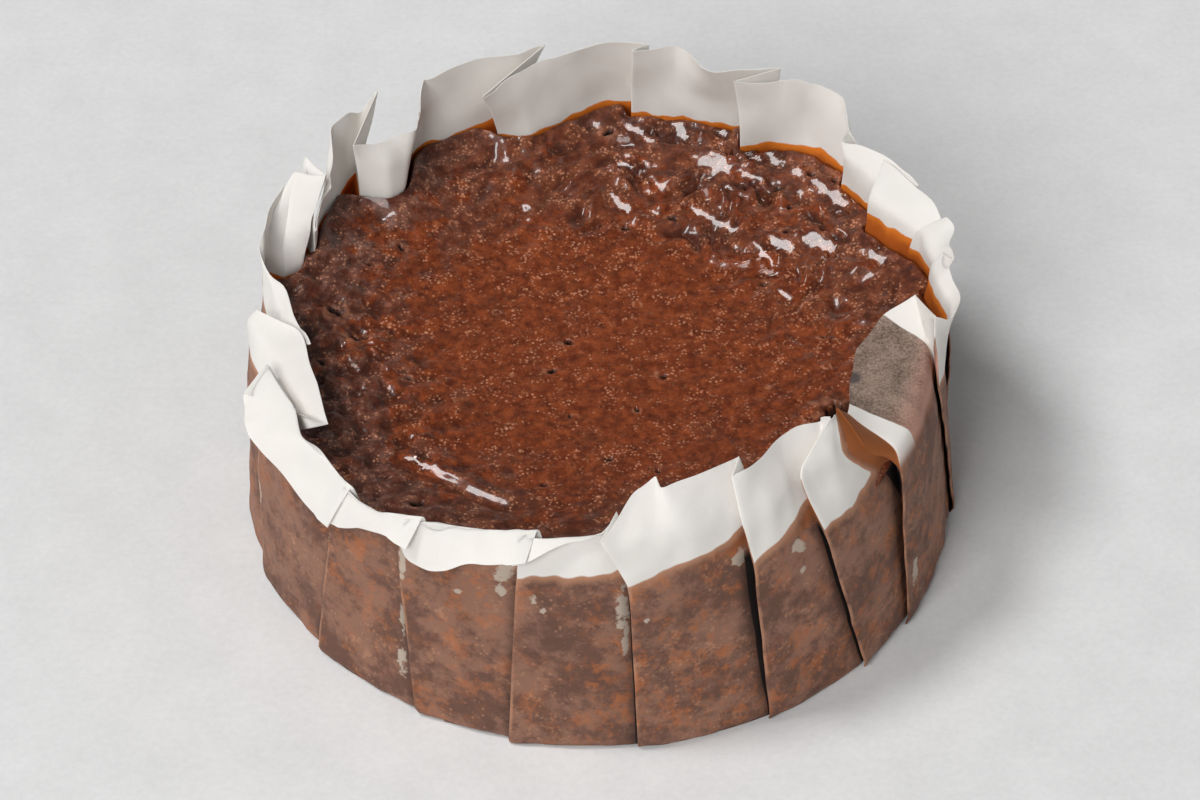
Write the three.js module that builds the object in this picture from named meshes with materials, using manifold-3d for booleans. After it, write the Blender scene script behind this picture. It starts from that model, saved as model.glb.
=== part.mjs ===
// A round, uncut chocolate Basque cheesecake in the baking parchment it was baked in.
//
// Millimetres, +Z up. The origin is the centre of the base, on the surface the cake stands on.
// Angles are in degrees, anticlockwise seen from above, with 0 along +X.
//
// The parchment is one sheet. Its floor is flat, and its wall is laid in knife pleats: each
// pleat shows one panel, which starts at an outer fold, runs round to an inner fold tucked
// behind the next panel, and comes back as a hidden return layer to the next outer fold.
// Above the cake the sheet stands free as a crumpled collar, which is upright at the back, a
// lip turned outwards at the left, and pressed inwards at the right.
//
// The cake fills the inside of the pleats, and its top has sunk in the middle.

import * as THREE from "three";
import { mergeVertices } from "three/addons/utils/BufferGeometryUtils.js";
import Module from "manifold-3d";

// ---- Driving dimensions ----

const SHEET = 0.5; // thickness of the parchment
const FOOT_RADIUS = 77.2; // outer folds at the base
const FOOT_TUCK = 1.9; // how far the inner folds lie inside them at the base
const FOOT_LAP = 4.0; // degrees that a panel runs on behind the next one at the base
const FOOT_FLAT = 0.5; // how much the middle of a panel is flattened at the base
const TURN_IN = 0.8; // rounding of the wall into the floor, inwards
const TURN_UP = 2.0; // rounding of the wall into the floor, upwards
const BROW_HEIGHT = 47; // height up to which the wall clings to the cake
const TUCK_DEPTH = 2.1; // how far a panel's end is held inside the next panel
const TUCK_LEAD = 1.2; // degrees before the next panel's start at which that begins in full
const TUCK_SLOPE = 0.5; // how quickly it is let go before there, per degree
const LIP_OVERHANG = 2; // how far out a free edge reaches past its bend where it forms a lip
const PANEL_COLUMNS = 7; // points across a panel
const SMALLEST_DETAIL = 0.01; // edges shorter than this are smoothed away
const WELD = 1e-4; // corners closer than this are one corner
const WALL_MIDDLE = 22; // height of the row half way up the wall
const WALL_LEVELS = [SHEET / 2, TURN_UP, WALL_MIDDLE]; // the wall's rows below its brow

const GAP = 0.85; // clearance between the cake and the parchment
const CAKE_FOOT = SHEET + GAP; // underside of the cake
const CAKE_FOOT_INSET = 1.1; // rounding of the cake's lower edge
const SIDE_TOP = BROW_HEIGHT - 1; // top of the cake's upright side
const EDGE_HEIGHT = 49; // top of the cake at its rim
const EDGE_INSET = 2.4; // rounding of the cake's upper edge
const EDGE_DROP = 0.6; // how far the outermost ring of the top lies below its neighbour
const OUTLINE_POWER = 4; // how quickly the pleats fade out of the top towards the middle
const FOLD_CLEARANCE = 1.0; // degrees from an inner fold to the cake's step round it
const EDGE_FOLD_CLEARANCE = 2.6; // the same at the cake's upper edge
const CENTRE_HEIGHT = 41.2; // top of the cake at its sunken middle
const BASIN_POWER = 3.2; // how late the sunken top climbs towards the rim
const PLEAT_STATIONS = 8; // points on the cake's side behind one panel
const TOP_RINGS = [0.97, 0.9, 0.78, 0.6, 0.38, 0.15]; // shares of the way out to the rim
const RIPPLES = [
  // soft waves in the top: height, waves round, waves outwards, turn
  { height: 0.45, round: 3, outward: 2.0, turn: 40 },
  { height: 0.35, round: 7, outward: 3.5, turn: 110 },
  { height: 0.25, round: 13, outward: 6.0, turn: 250 },
];

// Each pleat by its outer fold's angle at the foot, and by three rows of points along its panel,
// from the outer fold to the inner one: the brow [angle, radius], where the wall leaves the cake,
// the bend [angle, radius, height] in the collar, and the free rim [angle, radius, height].
const PLEATS = [
  // right, from the front to the back
  {
    foot: -5,
    brow: [[-15, 73.5], [-3, 72.5], [9, 69.5]],
    bend: [[-11, 70.8, 57], [-6, 73.5, 56], [0, 73, 56], [8, 71, 57]],
    rim: [[-10, 70.5, 63], [-7.5, 74, 60], [-2, 75, 59], [3, 74.5, 59], [8, 73, 61]],
  },
  {
    foot: 9,
    brow: [[4, 74.5], [19.5, 71]],
    bend: [[5, 72, 56], [18, 71, 57]],
    rim: [[5, 74.5, 62], [12, 75.5, 60.5], [17, 76, 60]],
  },
  {
    foot: 20,
    brow: [[15, 75], [22, 68], [29, 65.2]],
    bend: [[15, 73, 55], [22, 68.5, 57], [29, 66, 57]],
    rim: [[15, 76.5, 57], [21, 76.5, 60], [28, 74.5, 61], [33, 73, 61.5]],
  },
  {
    foot: 32,
    brow: [[25, 75.5], [34, 69.5], [41, 70]],
    bend: [[26, 74, 55], [33, 69.5, 57], [40, 69, 58]],
    rim: [[26, 76, 60], [31.5, 74.5, 61.5], [38, 72, 62], [42, 70, 61]],
  },
  {
    foot: 45,
    brow: [[37, 75.5], [46, 73.5], [52, 73.8], [57, 71.3], [62.5, 67]],
    bend: [[40, 74.5, 56], [47, 74, 57], [53, 74.5, 57], [58, 71, 57], [63, 67.2, 57]],
    rim: [[43, 73.5, 61], [46, 76, 66], [51, 77, 67.5], [54, 75.8, 67.5], [59, 70.5, 66.5], [64.2, 67, 66]],
  },
  // back
  {
    foot: 63,
    brow: [[58, 76], [66, 73], [72, 72], [84.5, 71]],
    bend: [[59, 75, 58], [67, 71, 57], [77, 72, 57], [84.5, 70.5, 57]],
    rim: [
      [58, 73.5, 68.5], [64, 70, 67.5], [69, 68.3, 66.5], [72, 69.5, 66],
      [76.5, 73.5, 68], [80.5, 71.5, 67.5], [84.3, 69.3, 67.8],
    ],
  },
  {
    foot: 84,
    brow: [[81, 76], [89, 75], [98, 68.5], [104, 65], [109.5, 68]],
    bend: [[82, 75.5, 57], [90, 74, 57], [98, 69.5, 56], [105, 66, 55], [111, 67, 55]],
    rim: [
      [82, 74, 66.5], [90.6, 73, 67.3], [95, 71, 66.8],
      [101, 69.5, 65.5], [108, 67.5, 63.5], [113.3, 65.6, 62],
    ],
  },
  {
    foot: 107,
    brow: [[104.5, 76], [110, 73], [117.5, 71.8], [126, 72]],
    bend: [[103, 75, 57], [111, 72.5, 57], [119, 72.5, 57], [126, 73, 56]],
    rim: [
      [99.8, 74, 66.6], [104.6, 71.8, 66.5], [111.5, 73.5, 67], [117.4, 72.8, 67],
      [121, 72.5, 65.5], [124.6, 74.6, 66], [126, 73.6, 62.5],
    ],
  },
  // left, from the back to the front
  {
    foot: 126,
    brow: [[123, 75.8], [134, 62.5], [137.5, 62.6], [140.5, 68.3]],
    bend: [[122, 75.5, 52], [132, 62.5, 56], [137, 64, 56], [140.8, 68.6, 56]],
    rim: [[121.5, 75.5, 56], [129.5, 63.5, 62], [135, 66, 61], [140.9, 69.2, 62]],
  },
  {
    foot: 142,
    brow: [[136.5, 75.5], [141, 73.3], [150, 71], [157.5, 67.5]],
    bend: [[133, 75, 57], [139, 74.5, 57], [149, 70, 55], [158, 66.8, 53.5]],
    rim: [
      [131, 74.6, 67.5], [134, 76, 62.5], [137.7, 74.5, 66],
      [142, 75, 65.5], [147, 69.5, 61.5], [158.5, 66, 55],
    ],
  },
  {
    foot: 159,
    brow: [[153.5, 75.8], [162.5, 67.6], [166.5, 69.8]],
    bend: [[150, 75.8, 55], [157, 67.4, 56], [162.9, 71.5, 53]],
    rim: [[147, 77, 60], [150.5, 68, 62], [152, 75, 62]],
  },
  {
    foot: 172,
    brow: [[165, 75], [175, 72.5], [189, 70.5]],
    bend: [[165, 75.2, 55], [173, 71.5, 55], [181, 68, 54], [190, 67, 53]],
    rim: [
      [154, 76, 60], [160, 75.6, 60], [166, 74.4, 60], [169, 74.7, 59],
      [174, 71, 57], [176.5, 67, 56.5], [187, 63.9, 56.3], [192, 63.2, 56],
    ],
  },
  {
    foot: 187,
    brow: [[184, 75], [195, 73], [205, 71]],
    bend: [[182, 75, 53], [190, 70.5, 54], [200, 69, 53.5], [210, 70.5, 52.5]],
    rim: [[182, 72.5, 56], [188, 64.5, 57], [193, 63.2, 56.5], [203, 64, 56.5], [213.5, 67.5, 56]],
  },
  // front, from the left to the right
  {
    foot: 199.5,
    brow: [[200, 76.2], [214, 75], [228.5, 73]],
    bend: [[195.5, 71.5, 57], [207, 69.5, 57.5], [213.5, 73, 56.5], [220, 72.8, 57], [227.5, 74.5, 56.8]],
    rim: [[198.5, 78.5, 52], [203, 80.3, 50.5], [206, 80.3, 49], [214.5, 78, 46], [224.4, 78.3, 43.8]],
  },
  {
    foot: 219,
    brow: [[223.6, 76], [242, 73.3]],
    bend: [[226.4, 74.6, 55.6], [229.5, 75.4, 55], [234.5, 75.6, 55], [241, 73.5, 56.5]],
    rim: [[222.8, 77.7, 43.8], [226, 77.8, 44.5], [231, 77.4, 49], [240, 77, 51.2]],
  },
  {
    foot: 240,
    brow: [[237, 76], [262, 73.4]],
    bend: [[238.4, 75, 56], [243.5, 73, 57.5], [251.5, 71, 57.3], [259.5, 69.5, 57]],
    rim: [
      [238.2, 77.4, 49.2], [240.2, 78, 46], [243.7, 78.2, 46],
      [248, 77, 49.3], [252.5, 76.8, 51.8], [258.5, 76, 54],
    ],
  },
  {
    foot: 255.6,
    brow: [[257, 76], [279, 73.8]],
    bend: [[257, 71.5, 57.2], [263.5, 71.5, 57.5], [268.4, 71.2, 58], [274, 71, 59]],
    rim: [[256.5, 76.1, 52.5], [263, 75.6, 56.5], [269, 74.2, 57.5], [272.5, 72.5, 60]],
  },
  {
    foot: 275.8,
    brow: [[274.3, 75.8], [298, 72]],
    bend: [[271.6, 74, 54], [277, 72, 57], [284, 72, 57], [297, 69, 56.5]],
    rim: [
      [270, 72.8, 57.5], [275.5, 65, 63.5], [280, 62.5, 65],
      [280.5, 66, 64.3], [288, 64, 65], [296, 62.2, 64.5],
    ],
  },
  {
    foot: 297.3,
    brow: [[294, 76], [312, 72.5]],
    bend: [[293.3, 71.5, 56.5], [303, 69.5, 57], [311, 68, 56.5]],
    rim: [[293.3, 65.5, 64], [297, 65, 64], [304, 61.5, 63.5], [310, 60.3, 63], [316, 61.6, 62.6]],
  },
  {
    foot: 316.4,
    brow: [[307, 76], [320, 73.5], [328, 69.5]],
    bend: [[304.8, 69, 60.5], [312, 69, 60], [319.5, 70.5, 56]],
    rim: [[317.6, 63, 62.6], [319, 62.8, 62], [321.5, 63.5, 61]],
  },
  {
    foot: 328,
    brow: [[325, 75.5], [338, 73], [350, 69.5]],
    bend: [[326, 73, 52.5], [332, 72.3, 53.5], [341, 71, 53.5], [350, 69.3, 54.5]],
    rim: [[328, 60, 53.5], [338, 55.2, 53], [348, 54.6, 53], [356, 59, 55], [359, 66, 59]],
  },
];

const CAKE_FINISH = { color: 0x5a2d1a, roughness: 0.35 };
const PARCHMENT_FINISH = { color: 0xe9e4dc, roughness: 0.8 };

// ---- Small helpers ----

const radians = (degrees) => (degrees * Math.PI) / 180;
const mix = (a, b, t) => a + (b - a) * t;

// The place at part s (0 to 1) of a row of evenly counted points.
function along(row, s) {
  const place = s * (row.length - 1);
  const k = Math.min(Math.floor(place), row.length - 2);
  return row[k].map((value, n) => mix(value, row[k + 1][n], place - k));
}

function polar(angle, radius, height) {
  const a = radians(angle);
  return new THREE.Vector3(radius * Math.cos(a), radius * Math.sin(a), height);
}

// ---- The pleated wall ----

// The levels of the sheet, from the foot to the free rim. A number is a height on the wall.
const LEVELS = [...WALL_LEVELS, BROW_HEIGHT, "bend", "rim"];

// The index of the next pleat round, and the turn to add to its angles.
function following(index) {
  const next = (index + 1) % PLEATS.length;
  return { next, turn: next === 0 ? 360 : 0 };
}

function nextFoot(index) {
  const { next, turn } = following(index);
  return PLEATS[next].foot + turn;
}

// A panel's [angle, radius, height] at part s of its width, on a level of the sheet, before its
// end is tucked behind the next panel.
function spreadPlace(index, s, level) {
  const pleat = PLEATS[index];
  if (typeof level === "string") return along(pleat[level], s);
  const last = nextFoot(index) + FOOT_LAP;
  const foot = along(
    [
      [pleat.foot, FOOT_RADIUS],
      [(pleat.foot + last) / 2, FOOT_RADIUS - FOOT_TUCK / 2 - FOOT_FLAT],
      [last, FOOT_RADIUS - FOOT_TUCK],
    ],
    s,
  );
  const brow = along(pleat.brow, s);
  const rise = level / BROW_HEIGHT;
  const turn = level < TURN_UP ? TURN_IN * (1 - level / TURN_UP) : 0;
  return [mix(foot[0], brow[0], rise), mix(foot[1], brow[1], rise) - turn, level];
}

// The part s of a panel's width that lies at an angle.
function partAt(index, angle, level) {
  const HALVINGS = 24;
  let low = 0;
  let high = 1;
  for (let step = 0; step < HALVINGS; step++) {
    const middle = (low + high) / 2;
    if (spreadPlace(index, middle, level)[0] < angle) low = middle;
    else high = middle;
  }
  return (low + high) / 2;
}

// Whether a panel is turned outwards over its bend, at part s of its width.
function hangsOver(index, s) {
  return spreadPlace(index, s, "rim")[1] > spreadPlace(index, s, "bend")[1] + LIP_OVERHANG;
}

// The same place once the panel's end is tucked behind the next panel. Where both are turned
// outwards into a lip, the inner layer lies on top of the outer one.
function panelPlace(index, s, level) {
  const [angle, radius, height] = spreadPlace(index, s, level);
  const { next, turn } = following(index);
  const [, outerRadius, outerHeight] = spreadPlace(next, partAt(next, angle - turn, level), level);
  const ahead = Math.max(0, spreadPlace(next, 0, level)[0] + turn - TUCK_LEAD - angle);
  const depth = TUCK_DEPTH - TUCK_SLOPE * ahead;
  if (typeof level === "string" && hangsOver(index, 1) && hangsOver(next, 0)) {
    if (level === "rim") return [angle, Math.max(radius, outerRadius + depth), height];
    return [angle, Math.min(radius, outerRadius - depth / 2), Math.max(height, outerHeight + depth)];
  }
  return [angle, Math.min(radius, outerRadius - depth), height];
}

// One column of points up a panel, from the foot to the free rim.
function panelColumn(index, s) {
  return LEVELS.map((level) => polar(...panelPlace(index, s, level)));
}

// The columns of one panel, from its outer fold to its inner one.
function panelColumns(index) {
  const columns = [];
  for (let k = 0; k < PANEL_COLUMNS; k++) {
    columns.push(panelColumn(index, k / (PANEL_COLUMNS - 1)));
  }
  return columns;
}

// The direction out of each point of a strip of sheet, from the faces round it.
function stripNormals(columns) {
  const rows = columns[0].length;
  const sums = columns.map((column) => column.map(() => new THREE.Vector3()));
  for (let c = 0; c < columns.length - 1; c++) {
    for (let r = 0; r < rows - 1; r++) {
      const rising = columns[c + 1][r + 1].clone().sub(columns[c][r]);
      const falling = columns[c][r + 1].clone().sub(columns[c + 1][r]);
      const normal = rising.cross(falling).normalize();
      for (const [dc, dr] of [[0, 0], [1, 0], [0, 1], [1, 1]]) sums[c + dc][r + dr].add(normal);
    }
  }
  return sums.map((column) => column.map((sum) => sum.normalize()));
}

// A strip of sheet with its thickness, as a closed solid.
function slab(columns) {
  const normals = stripNormals(columns);
  const rows = columns[0].length;
  const positions = [];
  columns.forEach((column, c) =>
    column.forEach((point, r) => {
      for (const side of [SHEET / 2, -SHEET / 2]) {
        const corner = point.clone().addScaledVector(normals[c][r], side);
        positions.push(corner.x, corner.y, corner.z);
      }
    }),
  );
  const outside = (c, r) => (c * rows + r) * 2;
  const inside = (c, r) => outside(c, r) + 1;
  const index = [];
  const quad = (a, b, c, d) => index.push(a, b, c, a, c, d);
  const last = columns.length - 1;
  const top = rows - 1;
  for (let c = 0; c < last; c++) {
    for (let r = 0; r < top; r++) {
      quad(outside(c, r), outside(c + 1, r), outside(c + 1, r + 1), outside(c, r + 1));
      quad(inside(c, r), inside(c, r + 1), inside(c + 1, r + 1), inside(c + 1, r));
    }
    quad(outside(c, 0), inside(c, 0), inside(c + 1, 0), outside(c + 1, 0));
    quad(outside(c, top), outside(c + 1, top), inside(c + 1, top), inside(c, top));
  }
  for (let r = 0; r < top; r++) {
    quad(outside(0, r), outside(0, r + 1), inside(0, r + 1), inside(0, r));
    quad(outside(last, r), inside(last, r), inside(last, r + 1), outside(last, r + 1));
  }
  return meshGeometry(positions, index);
}

function meshGeometry(positions, index) {
  const geometry = new THREE.BufferGeometry();
  geometry.setAttribute("position", new THREE.Float32BufferAttribute(positions, 3));
  geometry.setIndex(index);
  return geometry;
}

// The wall's panels, and the return layers that lead back from each inner fold to the next
// outer one.
function pleatedWall() {
  const panels = PLEATS.map((_, index) => panelColumns(index));
  const returns = panels.map((panel, index) => [panel.at(-1), panels[following(index).next][0]]);
  return [...panels, ...returns].map(slab);
}

// The flat floor, out to the middle of the outermost layer all round.
function parchmentFloor() {
  const outline = [];
  PLEATS.forEach((pleat, index) => {
    for (let k = 0; k < PANEL_COLUMNS; k++) {
      const angle = mix(pleat.foot, nextFoot(index), k / (PANEL_COLUMNS - 1));
      const point = polar(angle, panelRadius(index, angle, 0), 0);
      outline.push(new THREE.Vector2(point.x, point.y));
    }
  });
  return new THREE.ExtrudeGeometry(new THREE.Shape(outline), { depth: SHEET, bevelEnabled: false });
}

// ---- The cake ----

// The angle at which the panel before this one ends, at a height up to the brow.
function tailAngle(index, height) {
  const count = PLEATS.length;
  const turn = Math.floor((index - 1) / count) * 360;
  return spreadPlace((index - 1 + count) % count, 1, height)[0] + turn;
}

// The panel's radius at an angle, at a height up to the brow, measured on its straight facets.
function panelRadius(index, angle, height) {
  const columns = [];
  for (let k = 0; k < PANEL_COLUMNS; k++) {
    columns.push(panelPlace(index, k / (PANEL_COLUMNS - 1), height));
  }
  const found = columns.findLastIndex(([start]) => start <= angle);
  const k = THREE.MathUtils.clamp(found, 0, PANEL_COLUMNS - 2);
  const [nearAngle, nearRadius] = columns[k];
  const [farAngle, farRadius] = columns[k + 1];
  const part = THREE.MathUtils.clamp((angle - nearAngle) / (farAngle - nearAngle), 0, 1);
  return mix(nearRadius, farRadius, part);
}

// How much longer a radial gap must be than a square one, because the panel runs askew there.
function skew(index, angle, height) {
  const STEP = 0.5; // degrees
  const change = panelRadius(index, angle + STEP, height) - panelRadius(index, angle - STEP, height);
  return Math.hypot(1, change / radians(2 * STEP) / panelRadius(index, angle, height));
}

// The cake's outline as [angle, radius] at a height of the wall. It follows the panels' inner
// faces and steps straight outwards at each inner fold.
function cakeOutline(height, inset, sideways = FOLD_CLEARANCE) {
  const outline = [];
  PLEATS.forEach((_, index) => {
    const start = tailAngle(index, height) + sideways;
    const end = tailAngle(index + 1, height) + sideways;
    for (let k = 0; k < PLEAT_STATIONS; k++) {
      const angle = mix(start, end, k / (PLEAT_STATIONS - 1));
      const gap = (SHEET / 2 + GAP) * skew(index, angle, height);
      outline.push([angle, panelRadius(index, angle, height) - gap - inset]);
    }
  });
  return outline;
}

// The height of the top at a share of the way out from the middle, at an angle.
function topHeight(share, angle) {
  const basin = mix(CENTRE_HEIGHT, EDGE_HEIGHT, share ** BASIN_POWER);
  const waves = RIPPLES.map(
    ({ height, round, outward, turn }) =>
      height * Math.sin(radians(round * angle + turn) + outward * Math.PI * share),
  );
  const fade = 4 * share * (1 - share); // 0 in the middle and at the rim, 1 half way
  return basin + fade * waves.reduce((sum, wave) => sum + wave, 0);
}

// One ring of the top, which grows rounder and more even towards the middle.
function topRing(outline, share) {
  const own = share ** OUTLINE_POWER;
  const meanRadius = outline.reduce((sum, [, radius]) => sum + radius, 0) / outline.length;
  return outline.map(([angle, radius], n) => {
    const even = outline[0][0] + (360 * n) / outline.length;
    const turned = mix(even, angle, own);
    return polar(turned, share * mix(meanRadius, radius, own), topHeight(share, turned));
  });
}

function cake() {
  const ring = (outline, height) => outline.map(([angle, radius]) => polar(angle, radius, height));
  const edge = cakeOutline(BROW_HEIGHT, EDGE_INSET, EDGE_FOLD_CLEARANCE);
  return cappedStack([
    ring(cakeOutline(0, CAKE_FOOT_INSET), CAKE_FOOT),
    ring(cakeOutline(TURN_UP + CAKE_FOOT, 0), TURN_UP + CAKE_FOOT),
    ring(cakeOutline(WALL_MIDDLE, 0), WALL_MIDDLE),
    ring(cakeOutline(SIDE_TOP, 0), SIDE_TOP),
    ring(edge, EDGE_HEIGHT - EDGE_DROP),
    ...TOP_RINGS.map((share) => topRing(edge, share)),
  ]);
}

// A closed mesh of rings from the bottom to the top, with a fan over each end.
function cappedStack(rings) {
  const size = rings[0].length;
  const positions = rings.flat().flatMap((p) => [p.x, p.y, p.z]);
  const index = [];
  for (let r = 0; r < rings.length - 1; r++) {
    for (let k = 0; k < size; k++) {
      const next = (k + 1) % size;
      const [a, b] = [r * size + k, r * size + next];
      index.push(a, b, b + size, a, b + size, a + size);
    }
  }
  const bottom = positions.length / 3;
  const top = bottom + 1;
  positions.push(0, 0, rings[0][0].z, 0, 0, topHeight(0, 0));
  const lastRing = (rings.length - 1) * size;
  for (let k = 0; k < size; k++) {
    const next = (k + 1) % size;
    index.push(bottom, next, k, top, lastRing + k, lastRing + next);
  }
  return meshGeometry(positions, index);
}

// ---- Joining and naming ----

const wasm = await Module();
wasm.setup();

function solid(geometry) {
  const bare = geometry.clone();
  bare.deleteAttribute("normal");
  bare.deleteAttribute("uv");
  const merged = mergeVertices(bare, WELD);
  return new wasm.Manifold(
    new wasm.Mesh({
      numProp: 3,
      vertProperties: merged.getAttribute("position").array,
      triVerts: new Uint32Array(merged.index.array),
    }),
  );
}

function geometryOf(manifold) {
  const { vertProperties, triVerts } = manifold.getMesh();
  return meshGeometry(Array.from(vertProperties), Array.from(triVerts));
}

function node(name, geometry, finish) {
  const mesh = new THREE.Mesh(geometry, new THREE.MeshStandardMaterial(finish));
  mesh.name = name;
  return mesh;
}

// A solid without the specks of air shut in where its layers touch.
function largestPart(manifold) {
  return manifold.decompose().sort((a, b) => b.volume() - a.volume())[0];
}

// The whole sheet. The second pass takes specks that show once equal corners are merged.
function parchment() {
  const lengths = [...pleatedWall(), parchmentFloor()].map(solid);
  const sheet = wasm.Manifold.union(lengths).trimByPlane([0, 0, 1], 0).simplify(SMALLEST_DETAIL);
  return geometryOf(largestPart(solid(geometryOf(largestPart(sheet)))));
}

const cheesecake = new THREE.Group();
cheesecake.add(node("cake", cake(), CAKE_FINISH));
cheesecake.add(node("parchment", parchment(), PARCHMENT_FINISH));

export default cheesecake;
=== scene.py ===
"""Looks of a whole chocolate Basque cheesecake in the baking parchment it was baked in.

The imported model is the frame: metres, +Z up, the cake standing on z = 0. Two pieces are
built here, each in the place of the solid it stands for. The parchment is one thin pleated
sheet with its folds, its crumpled collar and the stains the cake has left in it, and the cake
is a sunken, rippled and glossy top over sides that press against the paper.

Shapes are worked out in millimetres, with angles in degrees, anticlockwise seen from above
and 0 along +X, and are turned into metres where a mesh is made.
"""

from __future__ import annotations

import logging
import math
from dataclasses import dataclass
from enum import Enum
from typing import Any, ClassVar, Sequence

import bpy
import numpy as np
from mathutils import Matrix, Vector


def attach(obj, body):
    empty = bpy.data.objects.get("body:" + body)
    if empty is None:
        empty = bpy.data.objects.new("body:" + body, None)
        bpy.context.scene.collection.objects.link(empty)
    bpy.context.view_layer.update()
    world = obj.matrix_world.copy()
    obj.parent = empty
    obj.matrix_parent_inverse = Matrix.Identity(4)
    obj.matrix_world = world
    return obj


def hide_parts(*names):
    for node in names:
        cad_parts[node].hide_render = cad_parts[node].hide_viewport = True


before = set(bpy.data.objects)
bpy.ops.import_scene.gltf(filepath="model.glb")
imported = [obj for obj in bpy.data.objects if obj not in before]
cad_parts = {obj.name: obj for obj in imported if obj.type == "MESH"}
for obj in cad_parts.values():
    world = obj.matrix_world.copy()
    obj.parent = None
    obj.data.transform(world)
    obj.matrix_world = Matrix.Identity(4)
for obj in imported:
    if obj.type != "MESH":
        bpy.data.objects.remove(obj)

LOG = logging.getLogger("cheesecake")
MM = 0.001

Array = np.ndarray
Row = Sequence[Sequence[float]]


# ---- Numbers along rows and over the sheet ----


def smoothstep(value: Array, low: float, high: float) -> Array:
    """Return 0 below low and 1 above high, with an even S between them."""
    t = np.clip((value - low) / (high - low), 0.0, 1.0)
    return t * t * (3 - 2 * t)


def mix(a: Array | float, b: Array | float, t: Array | float) -> Array | float:
    """Return the value at part t of the way from a to b."""
    return a + (b - a) * t


def along(row: Row, s: Array) -> Array:
    """Return the places at parts s (0 to 1) of a row of evenly counted points."""
    points = np.asarray(row, float)
    count = np.linspace(0.0, 1.0, len(points))
    return np.stack([np.interp(s, count, points[:, c]) for c in range(points.shape[1])], -1)


def softened(row: Row, s: Array, width: float) -> Array:
    """Return along(row, s) with the row's corners rounded.

    Args:
        row: Evenly counted points.
        s: Parts of the row, 0 to 1.
        width: Half of the stretch that each place is averaged over, as a part of the row.

    Returns:
        One place for each s. The two ends stay where they are.
    """

    def beyond(x: Array) -> Array:
        inside = np.clip(x, 0.0, 1.0)
        return 2 * along(row, inside) - along(row, np.clip(2 * inside - x, 0.0, 1.0))

    weights = {-1.0: 1, -0.5: 2, 0.0: 3, 0.5: 2, 1.0: 1}
    total = sum(weight * beyond(s + offset * width) for offset, weight in weights.items())
    return total / sum(weights.values())


def polar(places: Array) -> Array:
    """Return the points at [angle, radius, height] places."""
    angle = np.radians(places[..., 0])
    x, y = places[..., 1] * np.cos(angle), places[..., 1] * np.sin(angle)
    return np.stack([x, y, places[..., 2]], -1)


def level_points(angle: Array, radius: Array, height: float) -> Array:
    """Return the points at angles and radii, all at one height."""
    return polar(np.stack([angle, radius, np.full(radius.shape, height)], -1))


def bearing(x: Array, y: Array) -> Array:
    """Return the angle in degrees at which places lie."""
    return np.degrees(np.arctan2(y, x))


def unit(vectors: Array) -> Array:
    """Return the vectors at length 1."""
    return vectors / np.maximum(np.linalg.norm(vectors, axis=-1, keepdims=True), 1e-9)


def inside_polygon(x: Array, y: Array, corners: Row) -> Array:
    """Return how far inside a bulging polygon places lie, below 0 outside it.

    Args:
        x: First coordinates of the places.
        y: Second coordinates of the places.
        corners: The polygon's [x, y] corners, anticlockwise.

    Returns:
        The distance to the nearest side's line, for each place.
    """
    nearest = np.full(np.broadcast(x, y).shape, np.inf)
    for (ax, ay), (bx, by) in zip(corners, [*corners[1:], corners[0]]):
        inward = ((bx - ax) * (y - ay) - (by - ay) * (x - ax)) / math.hypot(bx - ax, by - ay)
        nearest = np.minimum(nearest, inward)
    return nearest


class Waves:
    """A smooth random field over a plane, made of waves within a band of lengths."""

    def __init__(self, seed: int, shortest: float, longest: float, count: int = 24) -> None:
        """Choose the waves.

        Args:
            seed: Start of the random numbers.
            shortest: Shortest wavelength, in mm.
            longest: Longest wavelength, in mm.
            count: How many waves are summed.
        """
        random = np.random.default_rng(seed)
        length = np.exp(random.uniform(math.log(shortest), math.log(longest), count))
        turn = random.uniform(0, 2 * math.pi, count)
        self.along = 2 * math.pi / length * np.cos(turn)
        self.across = 2 * math.pi / length * np.sin(turn)
        self.phase = random.uniform(0, 2 * math.pi, count)
        self.scale = math.sqrt(2 / count)

    def __call__(self, x: Array, y: Array) -> Array:
        """Return the field, whose usual size is 1, at places of the plane."""
        total = np.zeros(np.broadcast(x, y).shape)
        for onward, across, phase in zip(self.along, self.across, self.phase):
            total += np.sin(onward * x + across * y + phase)
        return total * self.scale


class Creases:
    """Flat facets between sharp folds, as in paper that was crumpled and opened again."""

    FOLDS: ClassVar[int] = 6

    def __init__(self, seed: int, shortest: float, longest: float, lean: float) -> None:
        """Choose the folds.

        Args:
            seed: Start of the random numbers.
            shortest: Least distance between two parallel folds, in mm.
            longest: Greatest distance between two parallel folds, in mm.
            lean: How far the folds may turn away from upright, in degrees.
        """
        random = np.random.default_rng(seed)
        self.lengths = random.uniform(shortest, longest, self.FOLDS)
        self.turns = np.radians(random.uniform(-lean, lean, self.FOLDS))
        self.phases = random.uniform(0, 1, self.FOLDS)
        self.warps = [Waves(seed + 7 * n, 2 * shortest, 3 * longest, 8) for n in range(self.FOLDS)]

    def __call__(self, x: Array, y: Array) -> Array:
        """Return heights between about -1 and 1 at places of the sheet."""
        total = np.zeros(np.broadcast(x, y).shape)
        for length, turn, phase, warp in zip(self.lengths, self.turns, self.phases, self.warps):
            place = (x * math.cos(turn) + y * math.sin(turn)) / length + phase
            place = place + 0.22 * warp(x, y)
            total += (1 - 4 * np.abs(place % 1 - 0.5)) * length
        return total / self.lengths.sum() * 1.6


# ---- The pleats ----


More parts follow.
